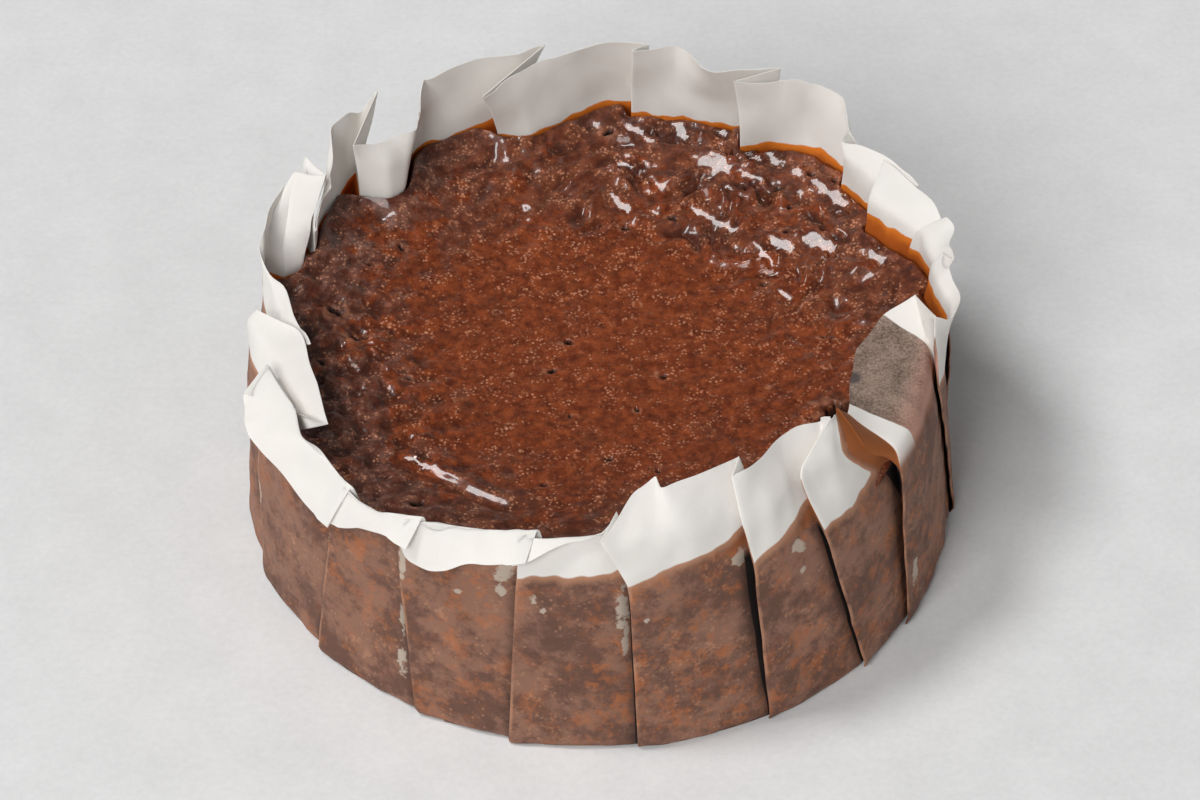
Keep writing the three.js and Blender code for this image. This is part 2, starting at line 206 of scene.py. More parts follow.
@dataclass(frozen=True)
class Pleat:
    """One knife pleat of the parchment, from its outer fold to its inner one.

    Attributes:
        foot: Angle of the outer fold at the base.
        brow: [angle, radius] where the wall leaves the cake.
        bend: [angle, radius, height] where the collar bends.
        rim: [angle, radius, height] of the free edge.
        tide: How far the stain on the outer face climbs above the brow, at the outer fold and
            at the inner one, in mm.
        inner_tide: The same for the face that touches the cake.
        slot: Width in mm of the painted shadow in the slot beside the next pleat's fold,
        at WallSize.slot_heights.
        end_soak: Part of the width, at the inner fold, that is soaked up to the free edge.
    """

    foot: float
    brow: Row
    bend: Row
    rim: Row
    tide: tuple[float, float] = (2.0, 2.0)
    inner_tide: tuple[float, float] = (0.8, 0.8)
    slot: tuple[float, float, float, float] = (0.0, 0.0, 0.0, 0.0)
    end_soak: float = 0.0


RIGHT_PLEATS = (
    Pleat(
        foot=-5,
        brow=[[-15, 73.5], [-3, 72.5], [9, 69.5]],
        bend=[[-11, 70.8, 57], [-6, 73.5, 56], [0, 73, 56], [8, 71, 57]],
        rim=[[-10, 70.5, 63], [-7.5, 74, 60], [-2, 75, 59], [3, 74.5, 59], [8, 73, 61]],
        inner_tide=(7, 7),
    ),
    Pleat(
        foot=9,
        brow=[[4, 74.5], [19.5, 71]],
        bend=[[5, 72, 56], [18, 71, 57]],
        rim=[[5, 74.5, 62], [12, 75.5, 60.5], [17, 76, 60]],
        inner_tide=(6, 5),
    ),
    Pleat(
        foot=20,
        brow=[[15, 75], [22, 68], [29, 65.2]],
        bend=[[15, 73, 55], [22, 68.5, 57], [29, 66, 57]],
        rim=[[15, 76.5, 57], [21, 76.5, 60], [28, 74.5, 61], [33, 73, 61.5]],
        inner_tide=(7, 7),
    ),
    Pleat(
        foot=32,
        brow=[[25, 75.5], [34, 69.5], [41, 70]],
        bend=[[26, 74, 55], [33, 69.5, 57], [40, 69, 58]],
        rim=[[26, 76, 60], [31.5, 74.5, 61.5], [38, 72, 62], [42, 70, 61]],
        inner_tide=(5, 3),
    ),
    Pleat(
        foot=45,
        brow=[[37, 75.5], [46, 73.5], [52, 73.8], [57, 71.3], [62.5, 67]],
        bend=[[40, 74.5, 56], [47, 74, 57], [53, 74.5, 57], [58, 71, 57], [63, 67.2, 57]],
        rim=[
            [43, 73.5, 61], [46, 76, 66], [51, 77, 67.5],
            [54, 75.8, 67.5], [59, 70.5, 66.5], [64.2, 67, 66],
        ],
        inner_tide=(5, 2),
    ),
)
BACK_PLEATS = (
    Pleat(
        foot=63,
        brow=[[58, 76], [66, 73], [72, 72], [84.5, 71]],
        bend=[[59, 75, 58], [67, 71, 57], [77, 72, 57], [84.5, 70.5, 57]],
        rim=[
            [58, 73.5, 68.5], [64, 70, 67.5], [69, 68.3, 66.5], [72, 69.5, 66],
            [76.5, 73.5, 68], [80.5, 71.5, 67.5], [84.3, 69.3, 67.8],
        ],
        inner_tide=(2.3, 2.6),
    ),
    Pleat(
        foot=84,
        brow=[[81, 76], [89, 75], [98, 68.5], [104, 65], [109.5, 68]],
        bend=[[82, 75.5, 57], [90, 74, 57], [98, 69.5, 56], [105, 66, 55], [111, 67, 55]],
        rim=[
            [82, 74, 66.5], [90.6, 73, 67.3], [95, 71, 66.8],
            [101, 69.5, 65.5], [108, 67.5, 63.5], [113.3, 65.6, 62],
        ],
        inner_tide=(3.0, 1.9),
    ),
    Pleat(
        foot=107,
        brow=[[104.5, 76], [110, 73], [117.5, 71.8], [126, 72]],
        bend=[[103, 75, 57], [111, 72.5, 57], [119, 72.5, 57], [126, 73, 56]],
        rim=[
            [99.8, 74, 66.6], [104.6, 71.8, 66.5], [111.5, 73.5, 67], [117.4, 72.8, 67],
            [121, 72.5, 65.5], [124.6, 74.6, 66], [126, 73.6, 62.5],
        ],
        inner_tide=(1.9, 2.1),
    ),
)
LEFT_PLEATS = (
    Pleat(
        foot=126,
        brow=[[123, 75.8], [134, 62.5], [137.5, 62.6], [140.5, 68.3]],
        bend=[[122, 75.5, 52], [132, 62.5, 56], [137, 64, 56], [140.8, 68.6, 56]],
        rim=[[121.5, 75.5, 56], [129.5, 63.5, 62], [135, 66, 61], [140.9, 69.2, 62]],
        inner_tide=(1.2, 1.0),
    ),
    Pleat(
        foot=142,
        brow=[[136.5, 75.5], [141, 73.3], [150, 71], [157.5, 67.5]],
        bend=[[133, 75, 57], [139, 74.5, 57], [149, 70, 55], [158, 66.8, 53.5]],
        rim=[
            [131, 74.6, 67.5], [134, 76, 62.5], [137.7, 74.5, 66],
            [142, 75, 65.5], [147, 69.5, 61.5], [158.5, 66, 55],
        ],
    ),
    Pleat(
        foot=159,
        brow=[[153.5, 75.8], [162.5, 67.6], [166.5, 69.8]],
        bend=[[150, 75.8, 55], [157, 67.4, 56], [162.9, 71.5, 53]],
        rim=[[147, 77, 60], [150.5, 68, 62], [152, 75, 62]],
        inner_tide=(1.2, 1.6),
    ),
    Pleat(
        foot=172,
        brow=[[165, 75], [175, 72.5], [189, 70.5]],
        bend=[[165, 75.2, 55], [173, 71.5, 55], [181, 68, 54], [190, 67, 53]],
        rim=[
            [154, 76, 60], [160, 75.6, 60], [166, 74.4, 60], [169, 74.7, 59],
            [174, 71, 57], [176.5, 67, 56.5], [187, 63.9, 56.3], [192, 63.2, 56],
        ],
    ),
    Pleat(
        foot=187,
        brow=[[184, 75], [195, 73], [205, 71]],
        bend=[[182, 75, 53], [190, 70.5, 54], [200, 69, 53.5], [210, 70.5, 52.5]],
        rim=[[182, 72.5, 56], [188, 64.5, 57], [193, 63.2, 56.5], [203, 64, 56.5], [213.5, 67.5, 56]],
        inner_tide=(1.5, 2.0),
        slot=(0.2, 0.3, 0.4, 0.4),
    ),
)
FRONT_PLEATS = (
    Pleat(
        foot=199.5,
        brow=[[200, 76.2], [214, 75], [228.5, 73]],
        bend=[[195.5, 71.5, 57], [207, 69.5, 57.5], [213.5, 73, 56.5], [220, 72.8, 57], [227.5, 74.5, 56.8]],
        rim=[[198.5, 78.5, 52], [203, 80.3, 50.5], [206, 80.3, 49], [214.5, 78, 46], [224.4, 78.3, 43.8]],
        tide=(2, 4),
        slot=(0.4, 0.7, 0.6, 0.2),
    ),
    Pleat(
        foot=219,
        brow=[[223.6, 76], [242, 73.3]],
        bend=[[226.4, 74.6, 55.6], [229.5, 75.4, 55], [234.5, 75.6, 55], [241, 73.5, 56.5]],
        rim=[[222.8, 77.7, 43.8], [226, 77.8, 44.5], [231, 77.4, 49], [240, 77, 51.2]],
        tide=(4, 4),
        slot=(0.7, 0.5, 0.35, 0.3),
    ),
    Pleat(
        foot=240,
        brow=[[237, 76], [262, 73.4]],
        bend=[[238.4, 75, 56], [243.5, 73, 57.5], [251.5, 71, 57.3], [259.5, 69.5, 57]],
        rim=[
            [238.2, 77.4, 49.2], [240.2, 78, 46], [243.7, 78.2, 46],
            [248, 77, 49.3], [252.5, 76.8, 51.8], [258.5, 76, 54],
        ],
        tide=(3, 3),
    ),
    Pleat(
        foot=255.6,
        brow=[[257, 76], [279, 73.8]],
        bend=[[257, 71.5, 57.2], [263.5, 71.5, 57.5], [268.4, 71.2, 57.5], [274, 70, 56.5]],
        rim=[[256.5, 76.1, 52.5], [263, 75.6, 56.5], [269, 73.2, 58], [272.5, 68.5, 60.5]],
        tide=(1.6, 4),
        slot=(0.6, 0.45, 0.4, 0.35),
    ),
    Pleat(
        foot=275.8,
        brow=[[274.3, 75.8], [298, 72]],
        bend=[[271.6, 74, 54], [277, 72, 57], [284, 72, 57], [297, 69, 56.5]],
        rim=[
            [270, 72.8, 57.5], [275.5, 65, 63.5], [280, 62.5, 65],
            [280.5, 66, 64.3], [288, 64, 65], [296, 62.2, 64.5],
        ],
        tide=(1, 8.6),
        slot=(-0.2, 0.6, 1.0, 1.1),
    ),
    Pleat(
        foot=297.3,
        brow=[[294, 76], [312, 72.5]],
        bend=[[293.3, 71.5, 56.5], [303, 69.5, 57], [311, 68, 56.5]],
        rim=[[293.3, 65.5, 64], [297, 65, 64], [304, 61.5, 63.5], [310, 60.3, 63], [316, 61.6, 62.6]],
        tide=(1.3, 9.8),
        slot=(0.2, 0.1, 0.1, 0.2),
    ),
    Pleat(
        foot=316.4,
        brow=[[307, 76], [320, 74], [328, 71.6]],
        bend=[[304.8, 69, 60.5], [312, 69, 60], [319.5, 70.5, 56]],
        rim=[[317.6, 63, 62.6], [319, 62.8, 62], [321.5, 63.5, 61]],
        tide=(1.3, 6.5),
        slot=(-4.0, -4.0, -4.0, 3.0),
        end_soak=0.34,
    ),
    Pleat(
        foot=328,
        brow=[[325, 75.5], [338, 73.8], [350, 71.4]],
        bend=[[326, 73, 52.5], [332, 72.3, 53.5], [341, 71, 53.5], [350, 69.3, 54.5]],
        rim=[[328, 60, 53.5], [338, 55.2, 53], [348, 54.6, 53], [356, 59, 55], [359, 66, 59]],
        tide=(30, 30),
        slot=(-4.0, -4.0, -3.0, 1.0),
    ),
)
PLEATS = (*RIGHT_PLEATS, *BACK_PLEATS, *LEFT_PLEATS, *FRONT_PLEATS)


# Seen from above, the two places where the flap that is folded inwards is white paper.
FLAP_FRONT: Row = [[49.0, -27.5], [50.1, -33.5], [60.3, -47.5], [66.0, -36.8]]
FLAP_BACK: Row = [[58.6, -3.0], [69.5, -13.5], [80.0, 0.0], [66.0, 12.0]]


class Level(Enum):
    """The rows of the sheet that are given for each pleat."""

    FLOOR = 0
    TURN = 1
    MIDDLE = 2
    BROW = 3
    BEND = 4
    RIM = 5


@dataclass(frozen=True)
class WallSize:
    """Measures of the pleated wall that are the same all round, in mm and degrees.

    Attributes:
        foot_radius: Radius of the outer folds at the foot.
        foot_tuck: How much less a panel's radius is at its inner fold.
        foot_lap: How far round a panel runs on behind the next one's fold.
        foot_flat: How much flatter than its arc a panel is in the middle.
        turn_in: How much the wall is drawn in where it turns into the floor.
        turn_up: Height at which that turn ends.
        middle: Height of the level between foot and brow.
        brow: Height at which the wall leaves the cake.
        tuck_depth: Depth of a panel's end behind the next panel.
        collar_tuck: The same for the free collar.
        lip_tuck: The same where both panels are turned outwards.
        tuck_lead: How far before the next fold a panel starts to be tucked.
        tuck_slope: How fast it gets there.
        lip_overhang: How far out an edge lies that counts as turned outwards.
        floor: Height of the lowest row.
        corner: Half width of the rounding of a panel's corners, as a part of its width.
        foot_corner: The same at the foot.
        slot_heights: Heights at which each pleat's slot widths are given.
    """

    foot_radius: float = 77.2
    foot_tuck: float = 1.3
    foot_lap: float = 4.0
    foot_flat: float = 0.5
    turn_in: float = 0.8
    turn_up: float = 2.0
    middle: float = 22.0
    brow: float = 47.0
    tuck_depth: float = 0.62
    collar_tuck: float = 1.15
    lip_tuck: float = 0.85
    tuck_lead: float = 0.5
    tuck_slope: float = 0.45
    lip_overhang: float = 2.0
    floor: float = 0.3
    corner: float = 0.045
    foot_corner: float = 0.1
    slot_heights: tuple[float, float, float, float] = (0.0, 15.0, 36.0, 50.0)


class PleatedWall:
    """The middle surface of the pleated wall: where a panel runs at each level."""

    SAMPLES: ClassVar[int] = 241

    def __init__(self, pleats: Sequence[Pleat], size: WallSize) -> None:
        """Keep the pleats and their common measures."""
        self.pleats = pleats
        self.size = size

    def height(self, level: Level) -> float:
        """Return the height of a level of the wall, up to the brow."""
        size = self.size
        heights = {Level.FLOOR: size.floor, Level.TURN: size.turn_up, Level.MIDDLE: size.middle}
        return heights.get(level, size.brow)

    def following(self, index: int) -> tuple[int, float]:
        """Return the next pleat's index, and the turn to add to its angles."""
        after = (index + 1) % len(self.pleats)
        return after, 360.0 if after == 0 else 0.0

    def spread(self, index: int, s: Array, level: Level) -> Array:
        """Return a panel's [angle, radius, height] before its end is tucked behind the next."""
        pleat, size = self.pleats[index], self.size
        if level is Level.BEND:
            return softened(pleat.bend, s, size.corner)
        if level is Level.RIM:
            return softened(pleat.rim, s, size.corner)
        after, turn = self.following(index)
        last = self.pleats[after].foot + turn + size.foot_lap
        middle = [(pleat.foot + last) / 2, size.foot_radius - size.foot_tuck / 2 - size.foot_flat]
        ends = [[pleat.foot, size.foot_radius], middle, [last, size.foot_radius - size.foot_tuck]]
        height = self.height(level)
        foot, brow = softened(ends, s, size.foot_corner), softened(pleat.brow, s, size.corner)
        place = mix(foot, brow, height / size.brow)
        turned = size.turn_in * max(0.0, 1 - height / size.turn_up)
        return np.stack([place[:, 0], place[:, 1] - turned, np.full(len(s), height)], -1)

    def hangs_over(self, index: int, s: float) -> bool:
        """Return whether a panel is turned outwards over its bend, at part s of its width."""
        at = np.array([s])
        reach = self.spread(index, at, Level.RIM)[0, 1] - self.spread(index, at, Level.BEND)[0, 1]
        return bool(reach > self.size.lip_overhang)

    def panel(self, index: int, s: Array, level: Level) -> Array:
        """Return a panel's places with its end tucked behind the next panel.

        Args:
            index: Which pleat.
            s: Parts of the panel's width, from its outer fold to its inner one.
            level: Which row of the sheet.

        Returns:
            [angle, radius, height] for each s. Where both panels are turned outwards into a
            lip, the inner layer lies on top of the outer one.
        """
        size = self.size
        angle, radius, height = self.spread(index, s, level).T
        after, turn = self.following(index)
        other = self.spread(after, np.linspace(0, 1, self.SAMPLES), level)
        rising = np.maximum.accumulate(other[:, 0])
        outer_radius = np.interp(angle - turn, rising, other[:, 1])
        outer_height = np.interp(angle - turn, rising, other[:, 2])
        ahead = np.maximum(0, other[0, 0] + turn - size.tuck_lead - angle)
        free = level in (Level.BEND, Level.RIM)
        depth = (size.collar_tuck if free else size.tuck_depth) - size.tuck_slope * ahead
        if free and self.hangs_over(index, 1) and self.hangs_over(after, 0):
            depth = size.lip_tuck - size.tuck_slope * ahead
            if level is Level.RIM:
                return np.stack([angle, np.maximum(radius, outer_radius + depth), height], -1)
            inner = np.minimum(radius, outer_radius - depth / 2)
            return np.stack([angle, inner, np.maximum(height, outer_height + depth)], -1)
        return np.stack([angle, np.minimum(radius, outer_radius - depth), height], -1)

    def inner_radius(self, angle: Array, level: Level) -> Array:
        """Return the radius of the innermost layer of the wall at angles from 0 to 360."""
        s = np.linspace(0, 1, self.SAMPLES)
        least = np.full(len(angle), np.inf)
        for index in range(len(self.pleats)):
            place = self.panel(index, s, level)
            rising = np.maximum.accumulate(place[:, 0])
            for turn in (-360.0, 0.0, 360.0):
                near = np.interp(angle, rising + turn, place[:, 1], left=np.inf, right=np.inf)
                least = np.minimum(least, near)
        return least


# ---- Meshes ----


def put(name: str, data: bpy.types.ID) -> bpy.types.Object:
    """Return a new object with its data, added to the scene."""
    thing = bpy.data.objects.new(name, data)
    bpy.context.scene.collection.objects.link(thing)
    return thing


def quads(index: Array) -> Array:
    """Return the faces of a grid of point numbers whose last column joins its first one.

    Args:
        index: Point numbers as [row, column].

    Returns:
        Point numbers as [row, column, corner].
    """
    beside = np.roll(index, -1, 1)
    return np.stack([index[:-1], beside[:-1], beside[1:], index[1:]], -1)


@dataclass
class Shell:
    """A closed mesh and the numbers its material reads at each point."""

    points: Array
    faces: list[tuple[int, ...]]
    numbers: dict[str, Array]

    def build(self, name: str, sharp: float) -> bpy.types.Object:
        """Return the mesh as an object in the scene.

        Args:
            name: Name of the object.
            sharp: Angle in degrees above which an edge is drawn sharp.

        Returns:
            The new object, in metres.
        """
        mesh = bpy.data.meshes.new(name)
        mesh.from_pydata((self.points * MM).tolist(), [], self.faces)
        for key, values in self.numbers.items():
            mesh.attributes.new(key, "FLOAT", "POINT").data.foreach_set("value", values.astype(np.float32))
        mesh.validate()
        mesh.shade_smooth()
        mesh.set_sharp_from_angle(angle=math.radians(sharp))
        return put(name, mesh)


def grid_normals(points: Array) -> Array:
    """Return the outward direction at each point of a grid of columns that closes on itself."""
    across = np.roll(points, -1, 0) - np.roll(points, 1, 0)
    up = np.gradient(points, axis=1)
    return unit(np.cross(across, up))


@dataclass(frozen=True)
class SheetSize:
    """How finely and how roughly the parchment is made, in mm unless named otherwise.

    Attributes:
        rows: How many rows lie between each two levels.
        rounding: For each rounded corner its level, how many rows before it the rounding
            starts, and how many times the rows are averaged.
        jag_rows: How many rows from the free edge its unevenness reaches down.
        jag_pitch: Distance that each column stands for in that unevenness.
        soft_waves: Shortest and longest wave of the paper's large swells.
        soft_stretch: How much shorter those are round the wall than up it.
        fine_waves: Shortest and longest wave of its fine unevenness.
        creases: Least and greatest distance between creases, and their lean in degrees.
        upright: The same for the nearly upright creases of the wall.
        rim_waves: Shortest and longest wave of the free edge.
        stain_waves: The same for the edges of the stains.
        stain_pitch: Distance that each degree stands for in those.
        stain_shift: Distance that sets one pleat's waves apart from the next one's.
        stain_waver: How far the stains' edges wander on the outer and the inner face.
        flap_rise: How far above the brow the flap's own colours come in.
        flap_fold: Where its fold lies above the brow, and the fold's half width.
        turned_rows: Rows at the foot that are stained on both faces.
        lift: Least height of the wall above the table.
    """

    thickness: float = 0.16
    fold_gap: float = 0.24
    column_pitch: float = 0.95
    return_columns: int = 2
    fold_columns: int = 3
    rows: tuple[int, ...] = (3, 12, 16, 11, 15)
    wall_relief: float = 0.16
    collar_relief: float = 0.3
    rim_jag: float = 0.25
    rounding: tuple[tuple[int, int, int], ...] = ((2, 4, 3), (3, 3, 7))
    jag_rows: int = 6
    jag_pitch: float = 0.8
    soft_waves: tuple[float, float] = (9, 30)
    soft_stretch: float = 1.6
    fine_waves: tuple[float, float] = (3, 8)
    creases: tuple[float, float, float] = (12, 26, 55)
    upright: tuple[float, float, float] = (9, 22, 25)
    rim_waves: tuple[float, float] = (5, 26)
    stain_waves: tuple[float, float] = (4, 22)
    stain_pitch: float = 1.3
    stain_shift: float = 5.0
    stain_waver: tuple[float, float] = (0.25, 0.35)
    flap_rise: tuple[float, float] = (2.0, 5.5)
    flap_fold: tuple[float, float] = (5.2, 1.3)
    turned_rows: int = 3
    lift: float = 0.05
    floor_columns: int = 240
    floor_inset: float = 0.1
    seed: int = 11


@dataclass
class Panel:
    """The part of one pleat that shows, as a grid of points.

    Attributes:
        points: Its middle surface as [column, row, xyz].
        normals: The outward direction at each point.
        climb: How far up the sheet each point lies above the brow, in mm.
        part: Each column's part of the panel's width.
    """

    points: Array
    normals: Array
    climb: Array
    part: Array


class Parchment:
    """The sheet of baking parchment: pleated wall, crumpled collar and flat floor.

    HIDDEN is the slot depth given to what a fold hides, so that it is painted black as shadow,
    SOAK_SLOPE how fast a soaked end gets deeper across its panel, DRY_END what keeps the other
    panels' ends unsoaked, and FLOOR_NUMBERS what the material reads on the floor.
    """

    HIDDEN: ClassVar[float] = 3.0
    SOAK_SLOPE: ClassVar[float] = 20.0
    DRY_END: ClassVar[float] = 6.0
    FLOOR_NUMBERS: ClassVar[dict[str, float]] = {"outer": 20.0, "inner": 20.0, "climb": -50.0, "side": 1.0}

    def __init__(self, wall: PleatedWall, size: SheetSize) -> None:
        """Keep the wall that the sheet follows, and the sheet's own measures."""
        self.wall = wall
        self.size = size

    def levels(self, index: int, s: Array) -> Array:
        """Return a panel's points at every level, as [level, column, xyz]."""
        return np.stack([polar(self.wall.panel(index, s, level)) for level in Level])

    def column_heights(self) -> Array:
        """Return where the sheet's rows lie, counted in levels."""
        parts = [np.linspace(k, k + 1, n, endpoint=False) for k, n in enumerate(self.size.rows)]
        return np.concatenate([*parts, [float(len(self.size.rows))]])

    def panel(self, index: int) -> Panel:
        """Return one pleat's panel with its corners rounded and its relief laid on."""
        span = np.ptp(self.wall.spread(index, np.array([0.0, 1.0]), Level.BROW)[:, 0])
        count = max(8, round(math.radians(span) * self.wall.size.foot_radius / self.size.column_pitch))
        s = np.linspace(0, 1, count)
        levels = self.levels(index, s)
        place = self.column_heights()
        low = np.minimum(place.astype(int), len(Level) - 2)
        part = (place - low)[:, None, None]
        points = self.rounded(mix(levels[low], levels[low + 1], part)).transpose(1, 0, 2)
        climb = self.climb(points)
        normals = unit(np.cross(np.gradient(points, axis=0), np.gradient(points, axis=1)))
        return Panel(points + normals * self.relief(points, climb)[..., None], normals, climb, s)

    def rounded(self, rows: Array) -> Array:
        """Return the rows with the corners at brow and bend rounded, the ends kept."""
        for level, before, passes in self.size.rounding:
            start = sum(self.size.rows[:level]) - before
            for _ in range(passes):
                part = rows[start:]
                rows[start + 1 : -1] = (part[:-2] + 2 * part[1:-1] + part[2:]) / 4
        return rows

    def relief(self, points: Array, climb: Array) -> Array:
        """Return how far each point of a panel is pushed outwards by waves and creases."""
        size = self.size
        around = bearing(points[..., 0], points[..., 1]) * math.radians(self.wall.size.foot_radius)
        up = climb + self.wall.size.brow
        collar = smoothstep(climb, -1.0, 6.0)
        soft = Waves(size.seed, *size.soft_waves)(around * size.soft_stretch, up)
        fine = Waves(size.seed + 1, *size.fine_waves)(around, up)
        creases = Creases(size.seed + 2, *size.creases)(around, up)
        upright = Creases(size.seed + 3, *size.upright)(around, up)
        wall = size.wall_relief * (0.8 * soft + 0.8 * upright + 0.15 * fine)
        free = size.collar_relief * (0.4 * soft + creases)
        return mix(wall, free, collar)

    def climb(self, points: Array) -> Array:
        """Return how far up the sheet each point lies above the brow, in mm."""
        steps = np.linalg.norm(np.diff(points, axis=1), axis=-1)
        length = np.concatenate([np.zeros((len(points), 1)), np.cumsum(steps, 1)], 1)
        brow = sum(self.size.rows[:3])
        return length - length[:, brow : brow + 1]

    def loop(self, edge: Array, outward: Array, onward: Array) -> Array:
        """Return the columns that turn round a fold, from the edge's side outwards.

        Args:
            edge: The column of the fold that the turn starts from.
            outward: Towards the layer it turns to, at each point.
            onward: The way that the fold bulges, at each point.

        Returns:
            Columns from just after the edge to the far layer, as [column, row, xyz].
        """
        gap = self.size.fold_gap
        turns = np.linspace(0, math.pi, self.size.fold_columns + 2)[1:]
        bulge = [onward * math.sin(t) * gap / 2 + outward * (1 - math.cos(t)) * gap / 2 for t in turns]
        return np.stack([edge + offset for offset in bulge])

    def strip(self) -> tuple[Array, dict[str, Array]]:
        """Return the whole wall's middle surface as columns, and numbers for its material."""
        panels = [self.panel(index) for index in range(len(self.wall.pleats))]
        blocks = [self.block(index, panels) for index in range(len(panels))]
        columns = np.concatenate([points for points, _ in blocks])
        keys = blocks[0][1]
        return columns, {key: np.concatenate([numbers[key] for _, numbers in blocks]) for key in keys}

    def block(self, index: int, panels: Sequence[Panel]) -> tuple[Array, dict[str, Array]]:
        """Return a panel and the paper folded behind it, up to the next panel's fold.

        Args:
            index: Which pleat.
            panels: The panels of all the pleats.

        Returns:
            The points as [column, row, xyz], and their numbers for the material.
        """
        own, after = panels[index], panels[(index + 1) % len(panels)]
        tail = self.loop(own.points[-1], own.normals[-1], unit(own.points[-1] - own.points[-2]))
        fold, outward = after.points[0], after.normals[0]
        behind = fold - outward * self.size.fold_gap
        turned = self.loop(behind, outward, unit(fold - after.points[1]))[:-1]
        shares = np.linspace(0, 1, self.size.return_columns + 2)[1:]
        back = [mix(tail[-1], behind, share) for share in shares]
        points = np.concatenate([own.points, tail, np.stack(back), turned])
        rows = points.shape[1]
        hidden = len(points) - len(own.points)
        # What the folds hide gets the full slot depth and is painted black as shadow; the turn to the next
        # fold gets none.
        shadow = np.full((hidden, rows), self.HIDDEN)
        shadow[-len(turned) :] = -self.HIDDEN
        # How far past its own outer fold each point lies; the material paints a highlight along the fold from
        # this.
        edge = np.clip(self.past(own.points, own.points[0]), 0, self.HIDDEN)
        part = np.concatenate([own.part, np.ones(hidden)])
        return points, {
            "climb": np.concatenate([own.climb, np.repeat(own.climb[-1:], hidden, 0)]),
            "part": np.repeat(part[:, None], rows, 1),
            "pleat": np.full((len(points), rows), float(index)),
            "slot": np.concatenate([self.slot(index, own.points, fold, own.climb), shadow]),
            "edge": np.concatenate([edge, np.maximum(0, shadow)]),
        }

    def slot(self, index: int, points: Array, fold: Array, climb: Array) -> Array:
        """Return how deep each point of a panel lies in the slot beside the next fold, where shadow is
        painted.

        Args:
            index: Which pleat.
            points: The panel's points.
            fold: The next pleat's outer fold, one point in each row.
            climb: How far above the brow the points lie.

        Returns:
            Depth in mm at each point, above 0 in the slot and behind the next pleat. The material
            paints shadow near black above 0 and softer shade just below it.
        """
        size = self.wall.size
        width = np.interp(climb + size.brow, size.slot_heights, self.wall.pleats[index].slot)
        return np.clip(self.past(points, fold) + width, -self.HIDDEN, self.HIDDEN)

    def past(self, points: Array, fold: Array) -> Array:
        """Return how far round the wall the points lie past a fold's point in the same row."""
        turn = np.arctan2(points[..., 1], points[..., 0]) - np.arctan2(fold[:, 1], fold[:, 0])
        return ((turn + math.pi) % (2 * math.pi) - math.pi) * self.wall.size.foot_radius

    def jagged(self, points: Array) -> Array:
        """Return the columns with their free edge a little uneven, as torn or cut paper is."""
        size = self.size
        around = np.arange(len(points)) * size.jag_pitch
        jag = Waves(size.seed + 5, *size.rim_waves)(around, np.zeros(len(points))) * size.rim_jag
        way = unit(points[:, -1] - points[:, -2])
        for row in range(1, size.jag_rows):
            points[:, -row] += way * jag[:, None] * (1 - (row - 1) / (size.jag_rows - 1))
        return points

    def stains(self, points: Array, numbers: dict[str, Array]) -> dict[str, Array]:
        """Return how deep inside the stain each point lies on the outer and the inner face."""
        size, pleats, part = self.size, self.wall.pleats, numbers["part"]
        index = numbers["pleat"].astype(int)
        around = bearing(points[..., 0], points[..., 1]) * size.stain_pitch
        waver = Waves(size.seed + 8, *size.stain_waves)(around, numbers["pleat"] * size.stain_shift)
        soaked = np.array([pleat.end_soak for pleat in pleats])[index]
        end = (part - 1 + soaked) * self.SOAK_SLOPE - self.DRY_END * (soaked == 0)
        tides = {"outer": [pleat.tide for pleat in pleats], "inner": [pleat.inner_tide for pleat in pleats]}
        depths = {}
        for (face, tide), reach in zip(tides.items(), size.stain_waver):
            first, last = np.moveaxis(np.array(tide)[index], -1, 0)
            depths[face] = np.maximum(mix(first, last, part) + reach * waver - numbers["climb"], end)
        return depths

    def flap(self, points: Array, numbers: dict[str, Array]) -> dict[str, Array]:
        """Return where the flap folded inwards lies, where it is folded and where it is white."""
        own = (numbers["pleat"] == len(self.wall.pleats) - 1).astype(float)
        climb = numbers["climb"]
        x, y = points[..., 0], points[..., 1]
        white = np.maximum(inside_polygon(x, y, FLAP_FRONT), inside_polygon(x, y, FLAP_BACK))
        on_top = smoothstep(climb, *self.size.flap_rise) * own
        middle, half_width = self.size.flap_fold
        fold = np.exp(-(((climb - middle) / half_width) ** 2)) * own
        return {"flap": on_top, "flap_white": white, "flap_fold": fold}

    def shell(self) -> Shell:
        """Return the closed mesh of the wall and the floor."""
        points, numbers = self.strip()
        points = self.jagged(points)
        numbers = {**numbers, **self.stains(points, numbers), **self.flap(points, numbers)}
        # The material reads neither of these: the stains and the flap were made from them.
        del numbers["part"], numbers["pleat"]
        normals = grid_normals(points)
        half = self.size.thickness / 2
        outside, inside = points + normals * half, points - normals * half
        count, rows = points.shape[:2]
        corners = np.concatenate([outside.reshape(-1, 3), inside.reshape(-1, 3)])
        corners[:, 2] = np.maximum(corners[:, 2], self.size.lift)
        faces = self.faces(count, rows)
        both = {key: np.concatenate([value.ravel(), value.ravel()]) for key, value in numbers.items()}
        within = np.zeros((count, rows))
        within[:, : self.size.turned_rows] = 1.0
        both["side"] = np.concatenate([np.ones(count * rows), within.ravel()])
        return self.with_floor(Shell(corners, faces, both))

    def faces(self, count: int, rows: int) -> list[tuple[int, ...]]:
        """Return the faces of both sides of the wall and of its two edges."""
        index = np.arange(count * rows).reshape(count, rows).T
        inside = count * rows
        outer_faces = quads(index).transpose(1, 0, 2).reshape(-1, 4)
        inner_faces = outer_faces[:, [0, 3, 2, 1]] + inside
        ends = []
        for row in (index[0], index[-1]):
            beside = np.roll(row, -1)
            ends.append(np.stack([row, row + inside, beside + inside, beside], -1))
        ends[1] = ends[1][:, ::-1]
        return [tuple(face) for face in np.concatenate([outer_faces, inner_faces, *ends]).tolist()]

